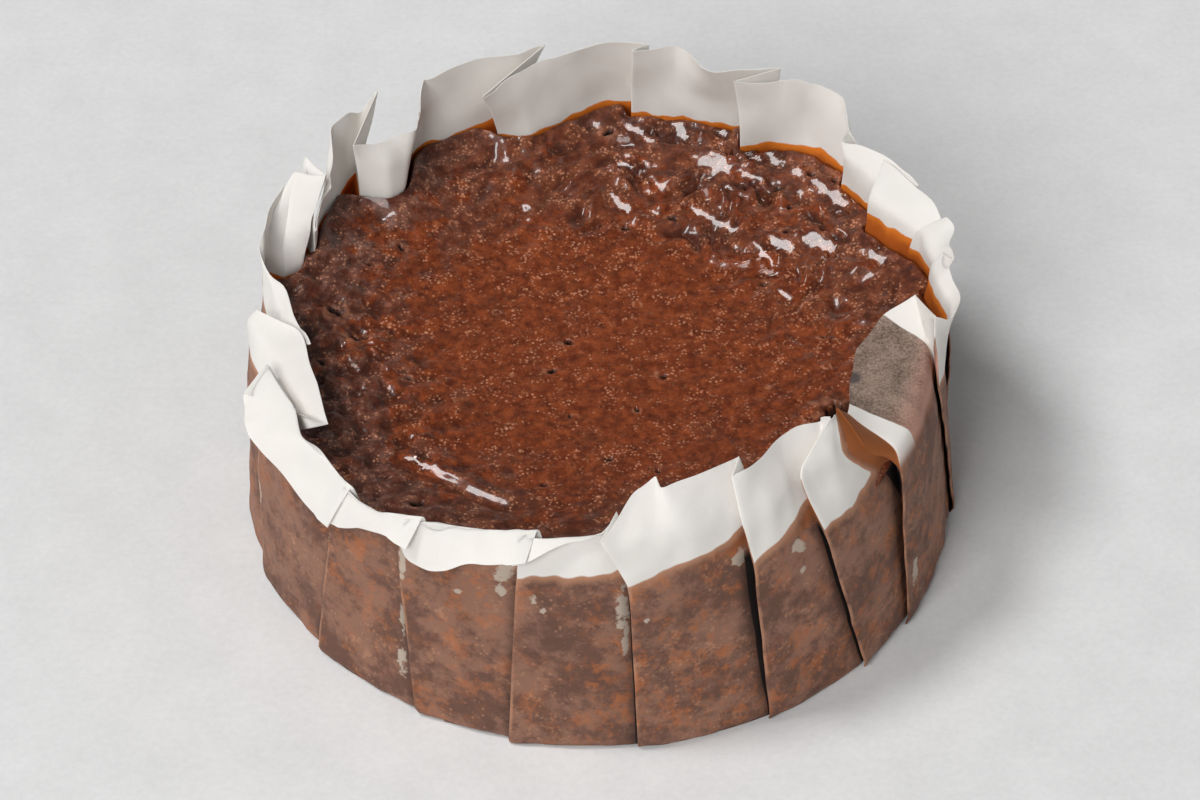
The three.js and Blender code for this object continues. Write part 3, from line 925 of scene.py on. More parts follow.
    def with_floor(self, shell: Shell) -> Shell:
        """Return the shell with the sheet's flat floor, a thin closed disc inside the wall."""
        angles = np.linspace(0, 360, self.size.floor_columns, endpoint=False)
        radius = self.wall.inner_radius(angles, Level.FLOOR) - self.size.floor_inset
        ring = level_points(angles, radius, 0.0)
        start, count = len(shell.points), len(angles)
        top = ring + [0, 0, self.size.thickness]
        centre = np.array([[0, 0, 0], [0, 0, self.size.thickness]])
        points = np.concatenate([shell.points, ring, top, centre])
        under, over = start + 2 * count, start + 2 * count + 1
        for k in range(count):
            a, b = start + k, start + (k + 1) % count
            shell.faces += [(under, b, a), (over, a + count, b + count), (a, b, b + count, a + count)]
        added = 2 * count + 2
        pad = {key: np.full(added, self.FLOOR_NUMBERS.get(key, 0.0)) for key in shell.numbers}
        numbers = {key: np.concatenate([value, pad[key]]) for key, value in shell.numbers.items()}
        return Shell(points, shell.faces, numbers)


# ---- The cake ----


@dataclass(frozen=True)
class Bubble:
    """A burst bubble in the top: where it lies and how wide its hole is, in mm."""

    x: float
    y: float
    radius: float


BUBBLES = tuple(
    Bubble(*row)
    for row in (
        (-38.0, -50.4, 1.16), (-7.2, 3.9, 0.88), (-10.6, -5.5, 0.68), (-6.5, -19.5, 0.61),
        (1.5, -32.7, 0.61), (11.6, -36.8, 0.68), (13.0, -7.4, 0.75), (7.4, -17.3, 0.48),
        (15.6, 40.6, 0.75), (5.1, 39.4, 0.75), (39.0, 48.2, 0.82), (41.0, 42.1, 0.75),
        (46.1, 50.9, 0.82), (51.0, 48.3, 0.68), (40.6, 34.8, 0.68), (35.3, 20.9, 0.68),
        (47.4, 3.0, 0.61), (1.6, 66.0, 0.88), (-43.5, 30.3, 0.75), (-50.8, 24.3, 0.61),
        (-12.3, -41.5, 0.61), (-41.2, -9.3, 0.61), (-49.6, -41.2, 0.61), (-57.0, 9.0, 1.2),
        (-52.5, 1.5, 0.9), (-59.5, -8.0, 1.0), (49.4, -21.4, 2.6), (46.0, -24.8, 1.7),
    )
)


@dataclass(frozen=True)
class Facet:
    """A wet place tilted to the key lamp: its two ends and half width, in mm."""

    x: float
    y: float
    end_x: float
    end_y: float
    half_width: float


FACETS = tuple(
    Facet(*row)
    for row in (
        (5.6, 67.9, 10.7, 63.4, 1.3), (15.9, 68.2, 19.0, 64.4, 1.4), (24.4, 66.4, 27.0, 65.0, 0.9),
        (4.0, 57.9, 6.9, 56.6, 1.0), (10.7, 53.2, 13.3, 50.4, 0.8), (2.5, 48.4, 5.8, 44.4, 1.1),
        (22.7, 57.2, 30.5, 52.8, 1.9), (31.0, 52.8, 35.3, 50.8, 0.9), (27.6, 49.1, 31.1, 46.4, 0.9),
        (36.2, 58.2, 39.0, 55.5, 1.1), (20.0, 44.0, 28.9, 37.7, 1.1), (42.7, 52.1, 45.6, 48.4, 1.1),
        (46.7, 47.7, 53.3, 41.0, 1.3), (37.5, 33.1, 40.9, 30.4, 1.3), (45.5, 32.4, 50.0, 28.8, 1.6),
        (33.3, 31.8, 37.1, 26.5, 1.0), (58.1, 24.9, 60.3, 22.0, 1.0), (39.0, 18.1, 40.3, 15.8, 0.8),
        (-40.2, -34.8, -33.9, -38.6, 0.9),
    )
)


@dataclass(frozen=True)
class Ripple:
    """A soft wave in the top, as in the solid: height in mm, waves round and out, and turn."""

    height: float
    round: float
    outward: float
    turn: float

    def wave(self, angle: Array, level: Array) -> Array:
        """Return the wave's height in mm at angles and parts of the way out to the edge."""
        phase = np.radians(self.round * angle + self.turn) + self.outward * math.pi * level
        return self.height * np.sin(phase)


@dataclass(frozen=True)
class Trough:
    """The long trough of the top, a groove with a ridge beside it, in mm.

    Attributes:
        start: Where it starts.
        end: Where it would end.
        deepens: Distances from the start over which it comes in.
        fades: Distances from the start over which it goes out.
        groove: Height, place across and half width of the groove.
        ridge: The same for the ridge.
        waver: How far it wanders to either side.
        smooth_width: Half width of the smooth skin along it.
    """

    start: tuple[float, float] = (-45.6, -35.0)
    end: tuple[float, float] = (-14.2, -50.8)
    deepens: tuple[float, float] = (-1.0, 8.0)
    fades: tuple[float, float] = (26.0, 34.0)
    groove: tuple[float, float, float] = (-0.95, -1.0, 1.9)
    ridge: tuple[float, float, float] = (0.8, 2.2, 1.8)
    waver: float = 0.4
    smooth_width: float = 4.0


@dataclass(frozen=True)
class CakeSize:
    """Measures of the cake, in mm unless named otherwise.

    Attributes:
        facet_slope: Rise along x and y of a wet place, which turns it to the key lamp.
        facet_fade: Where a wet place starts and stops fading, in its half widths.
        facet_smooth: How much smoother the skin is on a wet place.
        uneven_limits: Least and greatest factor on the distance from a bubble or wet place.
        basin_power: How steeply the sunken top rises to its edge.
        outline_power: How quickly the pleats fade out of the top towards the middle.
        outline_reach: Columns to each side whose least radius the outline takes.
        outline_passes: How many times the outline is averaged.
        touch: Gap between the cake and the paper.
        edge_lean: Part of the way from brow to bend at which the top's edge lies.
        edge_share: Part of the way out at which the top starts to round over.
        ring_power: Above 1, sets the top's rings closer together at its edge.
        sides: Height above the underside and inset of the rings at the foot and the turn.
        side_inset: Inset of the ring halfway up.
        brow_inset: Inset of the highest ring, and how far below the brow it lies.
        creased_side: Angle of the middle of the wrinkled back, and its half width, in degrees.
        lumpy_side: The same for the lumpy left.
    """

    foot: float = 0.6
    edge_height: float = 49.4
    edge_round: float = 1.2
    centre_height: float = 41.2
    basin_power: float = 3.2
    outline_power: float = 4.0
    touch: float = 0.16
    edge_lean: float = 0.35
    edge_share: float = 0.985
    ring_power: float = 1.12
    outline_reach: int = 2
    outline_passes: int = 3
    sides: tuple[tuple[float, float], ...] = ((0.0, 1.2), (1.6, 0.2))
    side_inset: float = 0.2
    brow_inset: tuple[float, float] = (0.1, 1.0)
    creased_side: tuple[float, float] = (62.0, 46.0)
    lumpy_side: tuple[float, float] = (192.0, 38.0)
    facet_slope: tuple[float, float] = (0.31, 0.51)
    facet_fade: tuple[float, float] = (0.6, 2.2)
    facet_smooth: float = 0.45
    uneven_limits: tuple[float, float] = (0.65, 1.5)
    hole_stretch: float = 1.3
    hole_depth: float = 1.7
    lip_height: float = 0.12
    trough: Trough = Trough()
    columns: int = 720
    rings: int = 130
    seed: int = 5
    ripples: tuple[Ripple, ...] = (
        Ripple(0.45, 3, 2.0, 40),
        Ripple(0.35, 7, 3.5, 110),
        Ripple(0.25, 13, 6.0, 250),
    )


class Cake:
    """The whole cake: rippled sunken top, sides against the paper, and a flat underside."""

    def __init__(self, wall: PleatedWall, size: CakeSize) -> None:
        """Keep the wall that the cake fills, and the cake's own measures."""
        self.wall = wall
        self.size = size
        self.angles = np.linspace(0, 360, size.columns, endpoint=False)

    def outline(self, level: Level, inset: float) -> Array:
        """Return the cake's radius at each angle, just inside the paper, without sharp steps."""
        radius = self.wall.inner_radius(self.angles, level)
        reach = self.size.outline_reach
        near = np.min([np.roll(radius, step) for step in range(-reach, reach + 1)], 0)
        for _ in range(self.size.outline_passes):
            near = (np.roll(near, 1) + 2 * near + np.roll(near, -1)) / 4
        return np.minimum(near, radius) - self.size.touch - inset

    def relief(self, x: Array, y: Array, share: Array) -> tuple[Array, Array]:
        """Return the height of the wrinkles in the top's skin in mm, and where it is creased."""
        seed = self.size.seed
        angle = bearing(x, y)
        radius = np.hypot(x, y)
        outer = smoothstep(share, 0.4, 0.75) * (1 - 0.6 * smoothstep(share, 0.96, 1.0))
        (back_at, back_width), (left_at, left_width) = self.size.creased_side, self.size.lumpy_side
        back = np.exp(-(((angle - back_at) / back_width) ** 2)) * outer
        left = np.exp(-((((angle % 360) - left_at) / left_width) ** 2)) * outer
        warp = 4.5 * Waves(seed + 3, 18, 50)(x, y)
        rings = Waves(seed, 5.0, 12)(radius + warp, np.radians(angle) * radius * 0.35)
        lumps = Waves(seed + 1, 4.5, 10)(x, y)
        pits = Waves(seed + 4, 3.0, 6.5)(x, y)
        fine = Waves(seed + 2, 1.6, 3.4)(x, y)
        still = 0.05 * lumps + 0.02 * fine + 0.1 * outer * lumps
        broken = np.clip(0.75 + 0.5 * Waves(seed + 6, 8, 20)(x, y), 0.1, 1.4)
        creased = 0.72 * rings + 0.2 * lumps + 0.04 * fine
        lumpy = 0.36 * lumps - 0.34 * np.abs(pits) + 0.05 * fine
        return still + back * broken * creased + left * lumpy, back

    def trough(self, x: Array, y: Array) -> tuple[Array, Array]:
        """Return the height of the long trough at the front left in mm, and how near it is."""
        trough = self.size.trough
        start, end = np.array(trough.start), np.array(trough.end)
        way = (end - start) / np.linalg.norm(end - start)
        onward = (x - start[0]) * way[0] + (y - start[1]) * way[1]
        across = (y - start[1]) * way[0] - (x - start[0]) * way[1]
        across = across + trough.waver * Waves(self.size.seed + 9, 9, 24)(x, y)
        inside = smoothstep(onward, *trough.deepens) * (1 - smoothstep(onward, *trough.fades))
        groove, ridge = (
            height * np.exp(-(((across - middle) / width) ** 2))
            for height, middle, width in (trough.groove, trough.ridge)
        )
        return inside * (groove + ridge), inside * np.exp(-((across / trough.smooth_width) ** 2))

    def uneven(self, x: Array, y: Array, draw: int, amount: float, band: tuple[float, float]) -> Array:
        """Return a random factor about 1 for distances, kept well above 0.

        Args:
            x: First coordinates of the places.
            y: Second coordinates of the places.
            draw: Which random draw, counted from the cake's seed.
            amount: How strongly it varies.
            band: Its shortest and longest wavelengths, in mm.

        Returns:
            The factor. At 0 a place far away would count as near, which the limits prevent.
        """
        waves = Waves(self.size.seed + draw, *band)(x, y)
        return np.clip(1 + amount * waves, *self.size.uneven_limits)

    def facets(self, x: Array, y: Array, surface: Array) -> tuple[Array, Array]:
        """Return the surface with its wet places tilted to the light, and how far inside one."""
        slope_x, slope_y = self.size.facet_slope
        wet = np.zeros(x.shape)
        uneven = self.uneven(x, y, 10, 0.3, (1.4, 4.0))
        for facet in FACETS:
            way_x, way_y = facet.end_x - facet.x, facet.end_y - facet.y
            onward = ((x - facet.x) * way_x + (y - facet.y) * way_y) / (way_x**2 + way_y**2)
            onward = np.clip(onward, 0, 1)
            away = np.hypot(x - facet.x - onward * way_x, y - facet.y - onward * way_y)
            near = 1 - smoothstep(away / facet.half_width * uneven, *self.size.facet_fade)
            middle_x, middle_y, level = (np.average(part, weights=near) for part in (x, y, surface))
            plane = level + slope_x * (x - middle_x) + slope_y * (y - middle_y)
            surface = mix(surface, plane, near)
            wet = np.maximum(wet, near)
        return surface, wet

    def holes(self, x: Array, y: Array) -> tuple[Array, Array, Array]:
        """Return the depth of the burst bubbles in mm, how far inside one, and how near a lip."""
        depth, inside, lip = np.zeros(x.shape), np.zeros(x.shape), np.zeros(x.shape)
        size = self.size
        uneven = self.uneven(x, y, 7, 0.22, (1.6, 4.5))
        worn = smoothstep(Waves(size.seed + 8, 2.0, 6.0)(x, y), -0.6, 1.0)
        for bubble in BUBBLES:
            away = np.hypot((x - bubble.x) / size.hole_stretch, y - bubble.y) / bubble.radius * uneven
            rim = worn * np.exp(-(((away - 1.5) / 0.45) ** 2))
            depth -= size.hole_depth * bubble.radius * (1 - smoothstep(away, 0.3, 1.0))
            depth += size.lip_height * min(bubble.radius, 1.0) * rim
            inside = np.maximum(inside, 1 - smoothstep(away, 0.6, 1.05))
            lip = np.maximum(lip, rim)
        return depth, inside, lip

    def top(self, share: Array, edge: Array) -> tuple[Array, dict[str, Array]]:
        """Return the top's points and numbers at shares of the way out to the edge."""
        size = self.size
        own = share[:, None] ** size.outline_power
        radius = share[:, None] * mix(edge.mean(), edge[None, :], own)
        angle = np.broadcast_to(self.angles[None, :], radius.shape)
        level = np.broadcast_to(share[:, None], radius.shape)
        points = level_points(angle, radius, 0.0)
        x, y = points[..., 0], points[..., 1]
        waves = sum(ripple.wave(angle, level) for ripple in size.ripples)
        basin = mix(size.centre_height, size.edge_height, level**size.basin_power)
        wrinkles, creased = self.relief(x, y, level)
        depth, inside, lip = self.holes(x, y)
        calm = 2 * level * (1 - level) * smoothstep(level, 0.2, 0.6)
        trough, smooth = self.trough(x, y)
        surface, wet = self.facets(x, y, basin + calm * waves + wrinkles * (1 - 0.7 * smooth) + trough)
        points[..., 2] = surface + depth
        points[..., 2] -= size.edge_round * smoothstep(level, size.edge_share, 1.0)
        numbers = {"share": level, "wrinkle": wrinkles, "creased": creased}
        smooth = np.maximum(smooth, size.facet_smooth * wet)
        return points, {**numbers, "hole_shadow": inside, "lip": lip, "smooth": smooth}

    def shell(self) -> Shell:
        """Return the closed mesh of the cake."""
        size = self.size
        brow, bend = self.outline(Level.BROW, 0.0), self.outline(Level.BEND, 0.0)
        edge = np.minimum(brow, mix(brow, bend, size.edge_lean))
        shares = 1 - np.linspace(0, 1, size.rings, endpoint=False) ** size.ring_power
        top, numbers = self.top(shares, edge)
        (foot, foot_inset), (turn, turn_inset) = size.sides
        brow_inset, below_brow = size.brow_inset
        sides = (
            (Level.FLOOR, size.foot + foot, foot_inset),
            (Level.TURN, size.foot + turn, turn_inset),
            (Level.MIDDLE, self.wall.size.middle, size.side_inset),
            (Level.BROW, self.wall.size.brow - below_brow, brow_inset),
        )
        rings = [
            level_points(self.angles, self.outline(level, inset), height) for level, height, inset in sides
        ]
        points = np.concatenate([*rings, top.reshape(-1, 3)])
        below = len(rings) * size.columns
        flat = {
            key: np.concatenate([np.full(below, 1.0 if key == "share" else 0.0), value.ravel()])
            for key, value in numbers.items()
        }
        return self.closed(points, flat)

    def closed(self, points: Array, numbers: dict[str, Array]) -> Shell:
        """Return the rings of points as a closed mesh with a fan over each end."""
        count = self.size.columns
        rings = len(points) // count
        index = np.arange(rings * count).reshape(rings, count)
        faces = [tuple(face) for face in quads(index).reshape(-1, 4).tolist()]
        under, over = len(points), len(points) + 1
        last = (rings - 1) * count
        middle = [[0, 0, points[0, 2]], [0, 0, points[last:, 2].mean()]]
        for k in range(count):
            after = (k + 1) % count
            faces += [(under, after, k), (over, last + k, last + after)]
        joined = {
            key: np.concatenate([value, [1.0, 0.0] if key == "share" else [0.0, 0.0]])
            for key, value in numbers.items()
        }
        return Shell(np.concatenate([points, middle]), faces, joined)


# ---- Shaders ----


class Shade:
    """One output socket of a shader graph, which can be reckoned with as a number can."""

    def __init__(self, graph: Graph, socket: bpy.types.NodeSocket) -> None:
        """Keep the socket and the graph it belongs to."""
        self.graph = graph
        self.socket = socket

    def __add__(self, other: Shade | float) -> Shade:
        """Return self + other."""
        return self.graph.math("ADD", self, other)

    def __radd__(self, other: float) -> Shade:
        """Return other + self."""
        return self.graph.math("ADD", other, self)

    def __sub__(self, other: Shade | float) -> Shade:
        """Return self - other."""
        return self.graph.math("SUBTRACT", self, other)

    def __rsub__(self, other: float) -> Shade:
        """Return other - self."""
        return self.graph.math("SUBTRACT", other, self)

    def __mul__(self, other: Shade | float) -> Shade:
        """Return self * other."""
        return self.graph.math("MULTIPLY", self, other)

    def __rmul__(self, other: float) -> Shade:
        """Return other * self."""
        return self.graph.math("MULTIPLY", other, self)

    def step(self, low: float, high: float) -> Shade:
        """Return 0 where this is below low and 1 above high, with an even S between."""
        inputs = {"Value": self, "From Min": low, "From Max": high}
        return self.graph.add("ShaderNodeMapRange", {"interpolation_type": "SMOOTHSTEP"}, inputs, "Result")


Colour = tuple[float, float, float]


def linear(red: int, green: int, blue: int) -> Colour:
    """Return the linear colour of a screen colour given as 0 to 255."""

    def channel(value: int) -> float:
        share = value / 255
        return share / 12.92 if share <= 0.04045 else ((share + 0.055) / 1.055) ** 2.4

    return channel(red), channel(green), channel(blue)


class Graph:
    """The node tree of one material."""

    def __init__(self, name: str) -> None:
        """Make the material with its main shader."""
        self.material = bpy.data.materials.new(name)
        self.material.use_nodes = True
        self.tree = self.material.node_tree
        self.shader = self.tree.nodes["Principled BSDF"]

    def add(self, kind: str, settings: dict[str, Any], inputs: dict[str, Any], output: str | int) -> Shade:
        """Add a node and return one of its outputs.

        Args:
            kind: Blender's name of the node type.
            settings: Properties of the node.
            inputs: Values or shades for its inputs, by name or number.
            output: Name or number of the output.

        Returns:
            The output as a shade.
        """
        node = self.tree.nodes.new(kind)
        for key, value in settings.items():
            setattr(node, key, value)
        for key, value in inputs.items():
            self.feed(node.inputs[key], value)
        return Shade(self, node.outputs[output])

    def feed(self, socket: bpy.types.NodeSocket, value: Any) -> None:
        """Give an input a shade, a number or a colour."""
        if isinstance(value, Shade):
            self.tree.links.new(value.socket, socket)
        elif socket.type == "RGBA":
            socket.default_value = (*value, 1.0)
        else:
            socket.default_value = value

    def math(self, operation: str, a: Shade | float, b: Shade | float) -> Shade:
        """Return a sum, product or the like of two numbers."""
        return self.add("ShaderNodeMath", {"operation": operation}, {0: a, 1: b}, 0)

    def vector(self, operation: str, output: str | int, *values: Shade | Colour) -> Shade:
        """Return an output of a vector sum, distance or the like."""
        return self.add("ShaderNodeVectorMath", {"operation": operation}, dict(enumerate(values)), output)

    def attribute(self, name: str) -> Shade:
        """Return a number that the mesh carries at its points."""
        return self.add("ShaderNodeAttribute", {"attribute_name": name}, {}, "Fac")

    def place(self) -> Shade:
        """Return the place on the object, in metres."""
        return self.add("ShaderNodeTexCoord", {}, {}, "Object")

    def noise(self, size: float, detail: float = 3.0, roughness: float = 0.55) -> Shade:
        """Return a random pattern of 0 to 1.

        Args:
            size: Width of its largest features, in mm.
            detail: How many finer layers it has.
            roughness: Weight of the finer layers.

        Returns:
            The pattern as a shade.
        """
        inputs = {"Vector": self.place(), "Scale": 1 / (size * MM), "Detail": detail, "Roughness": roughness}
        return self.add("ShaderNodeTexNoise", {}, inputs, "Fac")

    def cells(self, size: float) -> Shade:
        """Return the distance to the nearest of scattered points, 0 to about 1."""
        inputs = {"Vector": self.place(), "Scale": 1 / (size * MM)}
        return self.add("ShaderNodeTexVoronoi", {}, inputs, "Distance")

    def blend(self, share: Shade | float, a: Shade | Colour, b: Shade | Colour) -> Shade:
        """Return the colour at a share of the way from a to b."""
        inputs = {0: share, 6: a, 7: b}
        return self.add("ShaderNodeMix", {"data_type": "RGBA"}, inputs, 2)

    def bump(self, height: Shade, distance: float, strength: float, under: Shade | None = None) -> Shade:
        """Return normals tilted by a height of 0 to 1 that stands for a distance in mm."""
        inputs = {"Height": height, "Distance": distance * MM, "Strength": strength}
        if under is not None:
            inputs["Normal"] = under
        return self.add("ShaderNodeBump", {}, inputs, "Normal")

    def finish(self, **inputs: Any) -> bpy.types.Material:
        """Give the main shader its inputs, with _ for a space in a name, and return the material."""
        for key, value in inputs.items():
            self.feed(self.shader.inputs[key.replace("_", " ")], value)
        return self.material


@dataclass(frozen=True)
class Spot:
    """A dry spot in the wall: its angle, height, half width and half height, in degrees and mm."""

    angle: float
    height: float
    wide: float
    tall: float


SPOTS = tuple(
    Spot(*row)
    for row in (
        (254.8, 48.0, 2.4, 4.2), (254.2, 42.6, 1.2, 2.0), (259.6, 42.6, 1.0, 1.4), (261.0, 40.0, 0.7, 0.9),
        (273.2, 40.0, 1.5, 6.0), (273.7, 31.5, 0.8, 4.5), (276.9, 37.4, 0.8, 0.7), (292.4, 47.2, 1.7, 1.8),
        (302.6, 45.6, 1.6, 1.9), (303.2, 39.0, 0.9, 1.0), (330.3, 13.7, 1.4, 4.0), (237.9, 43.0, 0.9, 5.5),
        (236.9, 25.0, 0.8, 4.5), (236.8, 13.5, 1.4, 4.0), (199.9, 26.0, 0.8, 4.5), (221.0, 33.5, 0.8, 2.6),
        (247.2, 40.0, 0.9, 0.8),
    )
)


@dataclass(frozen=True)
class ParchmentFinish:
    """Colours of the baking parchment, dry and soaked, with painted shadow in and beside the slots
    between pleats and a painted highlight along the folds.

    BRUISE is the middle of the flap's dark mark in metres, and BRUISE_EDGE where it fades.
    """

    BRUISE: ClassVar[Colour] = (0.0521, -0.0205, 0.0535)
    BRUISE_EDGE: ClassVar[tuple[float, float]] = (0.0012, 0.0026)

    paper: Colour = linear(232, 228, 222)
    paper_shade: Colour = linear(226, 221, 214)
    brown: Colour = linear(141, 102, 84)
    dark_brown: Colour = linear(102, 71, 58)
    # Pale brown of flecks, patches and the stains' border, and also the painted highlight along the fold
    # crests.
    pale_brown_and_crest_highlight: Colour = linear(186, 136, 106)
    rust: Colour = linear(184, 106, 56)
    dust: Colour = linear(190, 176, 160)
    caramel: Colour = linear(222, 124, 34)
    caramel_dark: Colour = linear(172, 84, 20)
    soaked: Colour = linear(150, 84, 38)
    # Near black: the painted shadow in the slots beside the folds and behind them.
    slot: Colour = linear(20, 11, 8)
    dusty: Colour = linear(160, 138, 124)
    dusty_dark: Colour = linear(84, 68, 58)
    pink: Colour = linear(176, 128, 110)
    salmon: Colour = linear(200, 150, 132)
    bruise: Colour = linear(62, 56, 58)

    def material(self) -> bpy.types.Material:
        """Return the material, which reads the sheet's own numbers."""
        graph = Graph("parchment")
        side = graph.attribute("side")
        waver = graph.noise(5.0, 4.0)
        paper = graph.blend(graph.noise(9.0), self.paper_shade, self.paper)
        inner = self.inner_stain(graph, waver)
        outer = self.outer_stain(graph)
        wet_in = (graph.attribute("inner") + (waver - 0.5) * 1.4).step(-0.2, 0.2)
        wet_out = (graph.attribute("outer") + (waver - 0.5) * 1.0).step(-0.25, 0.25)
        colour = graph.blend(side, graph.blend(wet_in, paper, inner), graph.blend(wet_out, paper, outer))
        colour = self.flap(graph, paper, colour, side)
        below = 1 - graph.attribute("climb").step(0.0, 2.5)
        # Painted shade: the soaked wall darkens over the last 3 mm before each slot.
        near = graph.attribute("slot").step(-3.0, 0.3) * (0.35 + 0.3 * waver)
        # Painted highlight: a pale line along each outer fold of the soaked wall.
        crest_highlight = (1 - graph.attribute("edge").step(0.15, 0.6)) * graph.noise(7.0, 3.0).step(0.4, 0.62)
        soaked = side * wet_out * below
        colour = graph.blend(near * soaked, colour, self.slot)
        colour = graph.blend(crest_highlight * soaked * 0.6, colour, self.pale_brown_and_crest_highlight)
        # Painted shadow: the slots beside the folds, below the brow, go near black.
        colour = graph.blend(graph.attribute("slot").step(-0.12, 0.12) * side * below, colour, self.slot)
        fibres = graph.noise(0.5, 2.0)
        creases = graph.noise(9.0, 4.0, 0.5)
        normal = graph.bump(creases, 0.25, 0.4, graph.bump(fibres, 0.04, 0.5))
        rough = 0.62 + 0.2 * graph.noise(3.0)
        graph.shader.inputs["Subsurface Radius"].default_value = (1.0, 1.0, 1.0)
        inputs = {"Base_Color": colour, "Roughness": rough, "Normal": normal}
        return graph.finish(**inputs, Specular_IOR_Level=0.35, Subsurface_Weight=0.4, Subsurface_Scale=0.0006)

    def inner_stain(self, graph: Graph, waver: Shade) -> Shade:
        """Return the caramel colour soaked into the face that touches the cake."""
        depth = (graph.attribute("inner") + (waver - 0.5) * 3).step(0.0, 3.0)
        return graph.blend(depth, self.caramel, self.caramel_dark)

    def outer_stain(self, graph: Graph) -> Shade:
        """Return the mottled brown soaked through to the outer face."""
        mottle = (graph.noise(15.0, 3.0) * 0.5 + graph.noise(3.6, 7.0, 0.8) * 0.5).step(0.43, 0.57)
        brown = graph.blend(mottle, self.dark_brown, self.brown)
        rust = graph.noise(4.6, 8.0, 0.8).step(0.48, 0.62) * graph.noise(26.0, 2.0).step(0.36, 0.56)
        brown = graph.blend(rust * 0.6, brown, self.rust)
        bright = graph.noise(2.6, 7.0, 0.8).step(0.53, 0.63) * graph.noise(14.0, 3.0).step(0.46, 0.6)
        brown = graph.blend(bright * 0.6, brown, self.pale_brown_and_crest_highlight)
        flecks = (1 - graph.cells(1.6).step(0.1, 0.3)) * graph.noise(9.0, 3.0).step(0.42, 0.62)
        brown = graph.blend(flecks * 0.5, brown, self.pale_brown_and_crest_highlight)
        border = 1 - graph.attribute("outer").step(0.0, 2.4)
        brown = graph.blend(border * 0.75, brown, self.pale_brown_and_crest_highlight)
        ragged = (self.nearest_spot(graph) + (graph.noise(2.4, 6.0, 0.66) - 0.55) * 3.6).step(-0.2, 0.2)
        brown = graph.blend(ragged * 0.85, brown, self.dust)
        deep = graph.attribute("climb").step(1.0, 6.0) * graph.attribute("outer").step(1.0, 3.0)
        return graph.blend(deep, brown, self.soaked)

    def nearest_spot(self, graph: Graph) -> Shade:
        """Return how far inside the nearest dry spot a place of the wall lies, 1 at its middle."""
        apart = graph.add("ShaderNodeSeparateXYZ", {}, {0: graph.place()}, 0)
        x, y, z = (Shade(graph, socket) for socket in apart.socket.node.outputs)
        around = graph.math("ARCTAN2", y, x) * WallSize.foot_radius
        flat = graph.add("ShaderNodeCombineXYZ", {}, {"X": around, "Y": z * (1 / MM)}, 0)
        best: Shade | float = -9.0
        for spot in SPOTS:
            middle = math.radians(spot.angle - 360) * WallSize.foot_radius
            scale = (1 / spot.wide, 1 / spot.tall, 0.0)
            offset = (-middle / spot.wide, -spot.height / spot.tall, 0.0)
            away = graph.vector("MULTIPLY_ADD", 0, flat, scale, offset)
            length = graph.vector("LENGTH", "Value", away)
            best = graph.math("MAXIMUM", best, 1 - length)
        return best

    def flap(self, graph: Graph, paper: Shade, colour: Shade, side: Shade) -> Shade:
        """Return the colour with the flap's soaked, worn and white places laid over it."""
        grains = graph.noise(0.5, 3.0, 0.7).step(0.34, 0.66)
        clouds = graph.noise(6.0, 5.0, 0.6).step(0.35, 0.65)
        dusty = graph.blend(grains * 0.6 + clouds * 0.4, self.dusty_dark, self.dusty)
        pinker = 1 - graph.attribute("climb").step(4.0, 15.0)
        dusty = graph.blend(pinker * (0.4 + 0.5 * grains), dusty, self.pink)
        bruise = graph.vector("DISTANCE", "Value", graph.place(), self.BRUISE)
        dusty = graph.blend((1 - bruise.step(*self.BRUISE_EDGE)) * 0.85, dusty, self.bruise)
        white = (graph.attribute("flap_white") + (graph.noise(2.5, 3.0) - 0.5) * 0.5).step(-0.15, 0.15)
        flap = graph.blend(white, dusty, paper)
        colour = graph.blend(graph.attribute("flap") * side, colour, flap)
        fold = graph.attribute("flap_fold") * side * (1 - white * 0.8)
        return graph.blend(fold * 0.75, colour, self.salmon)


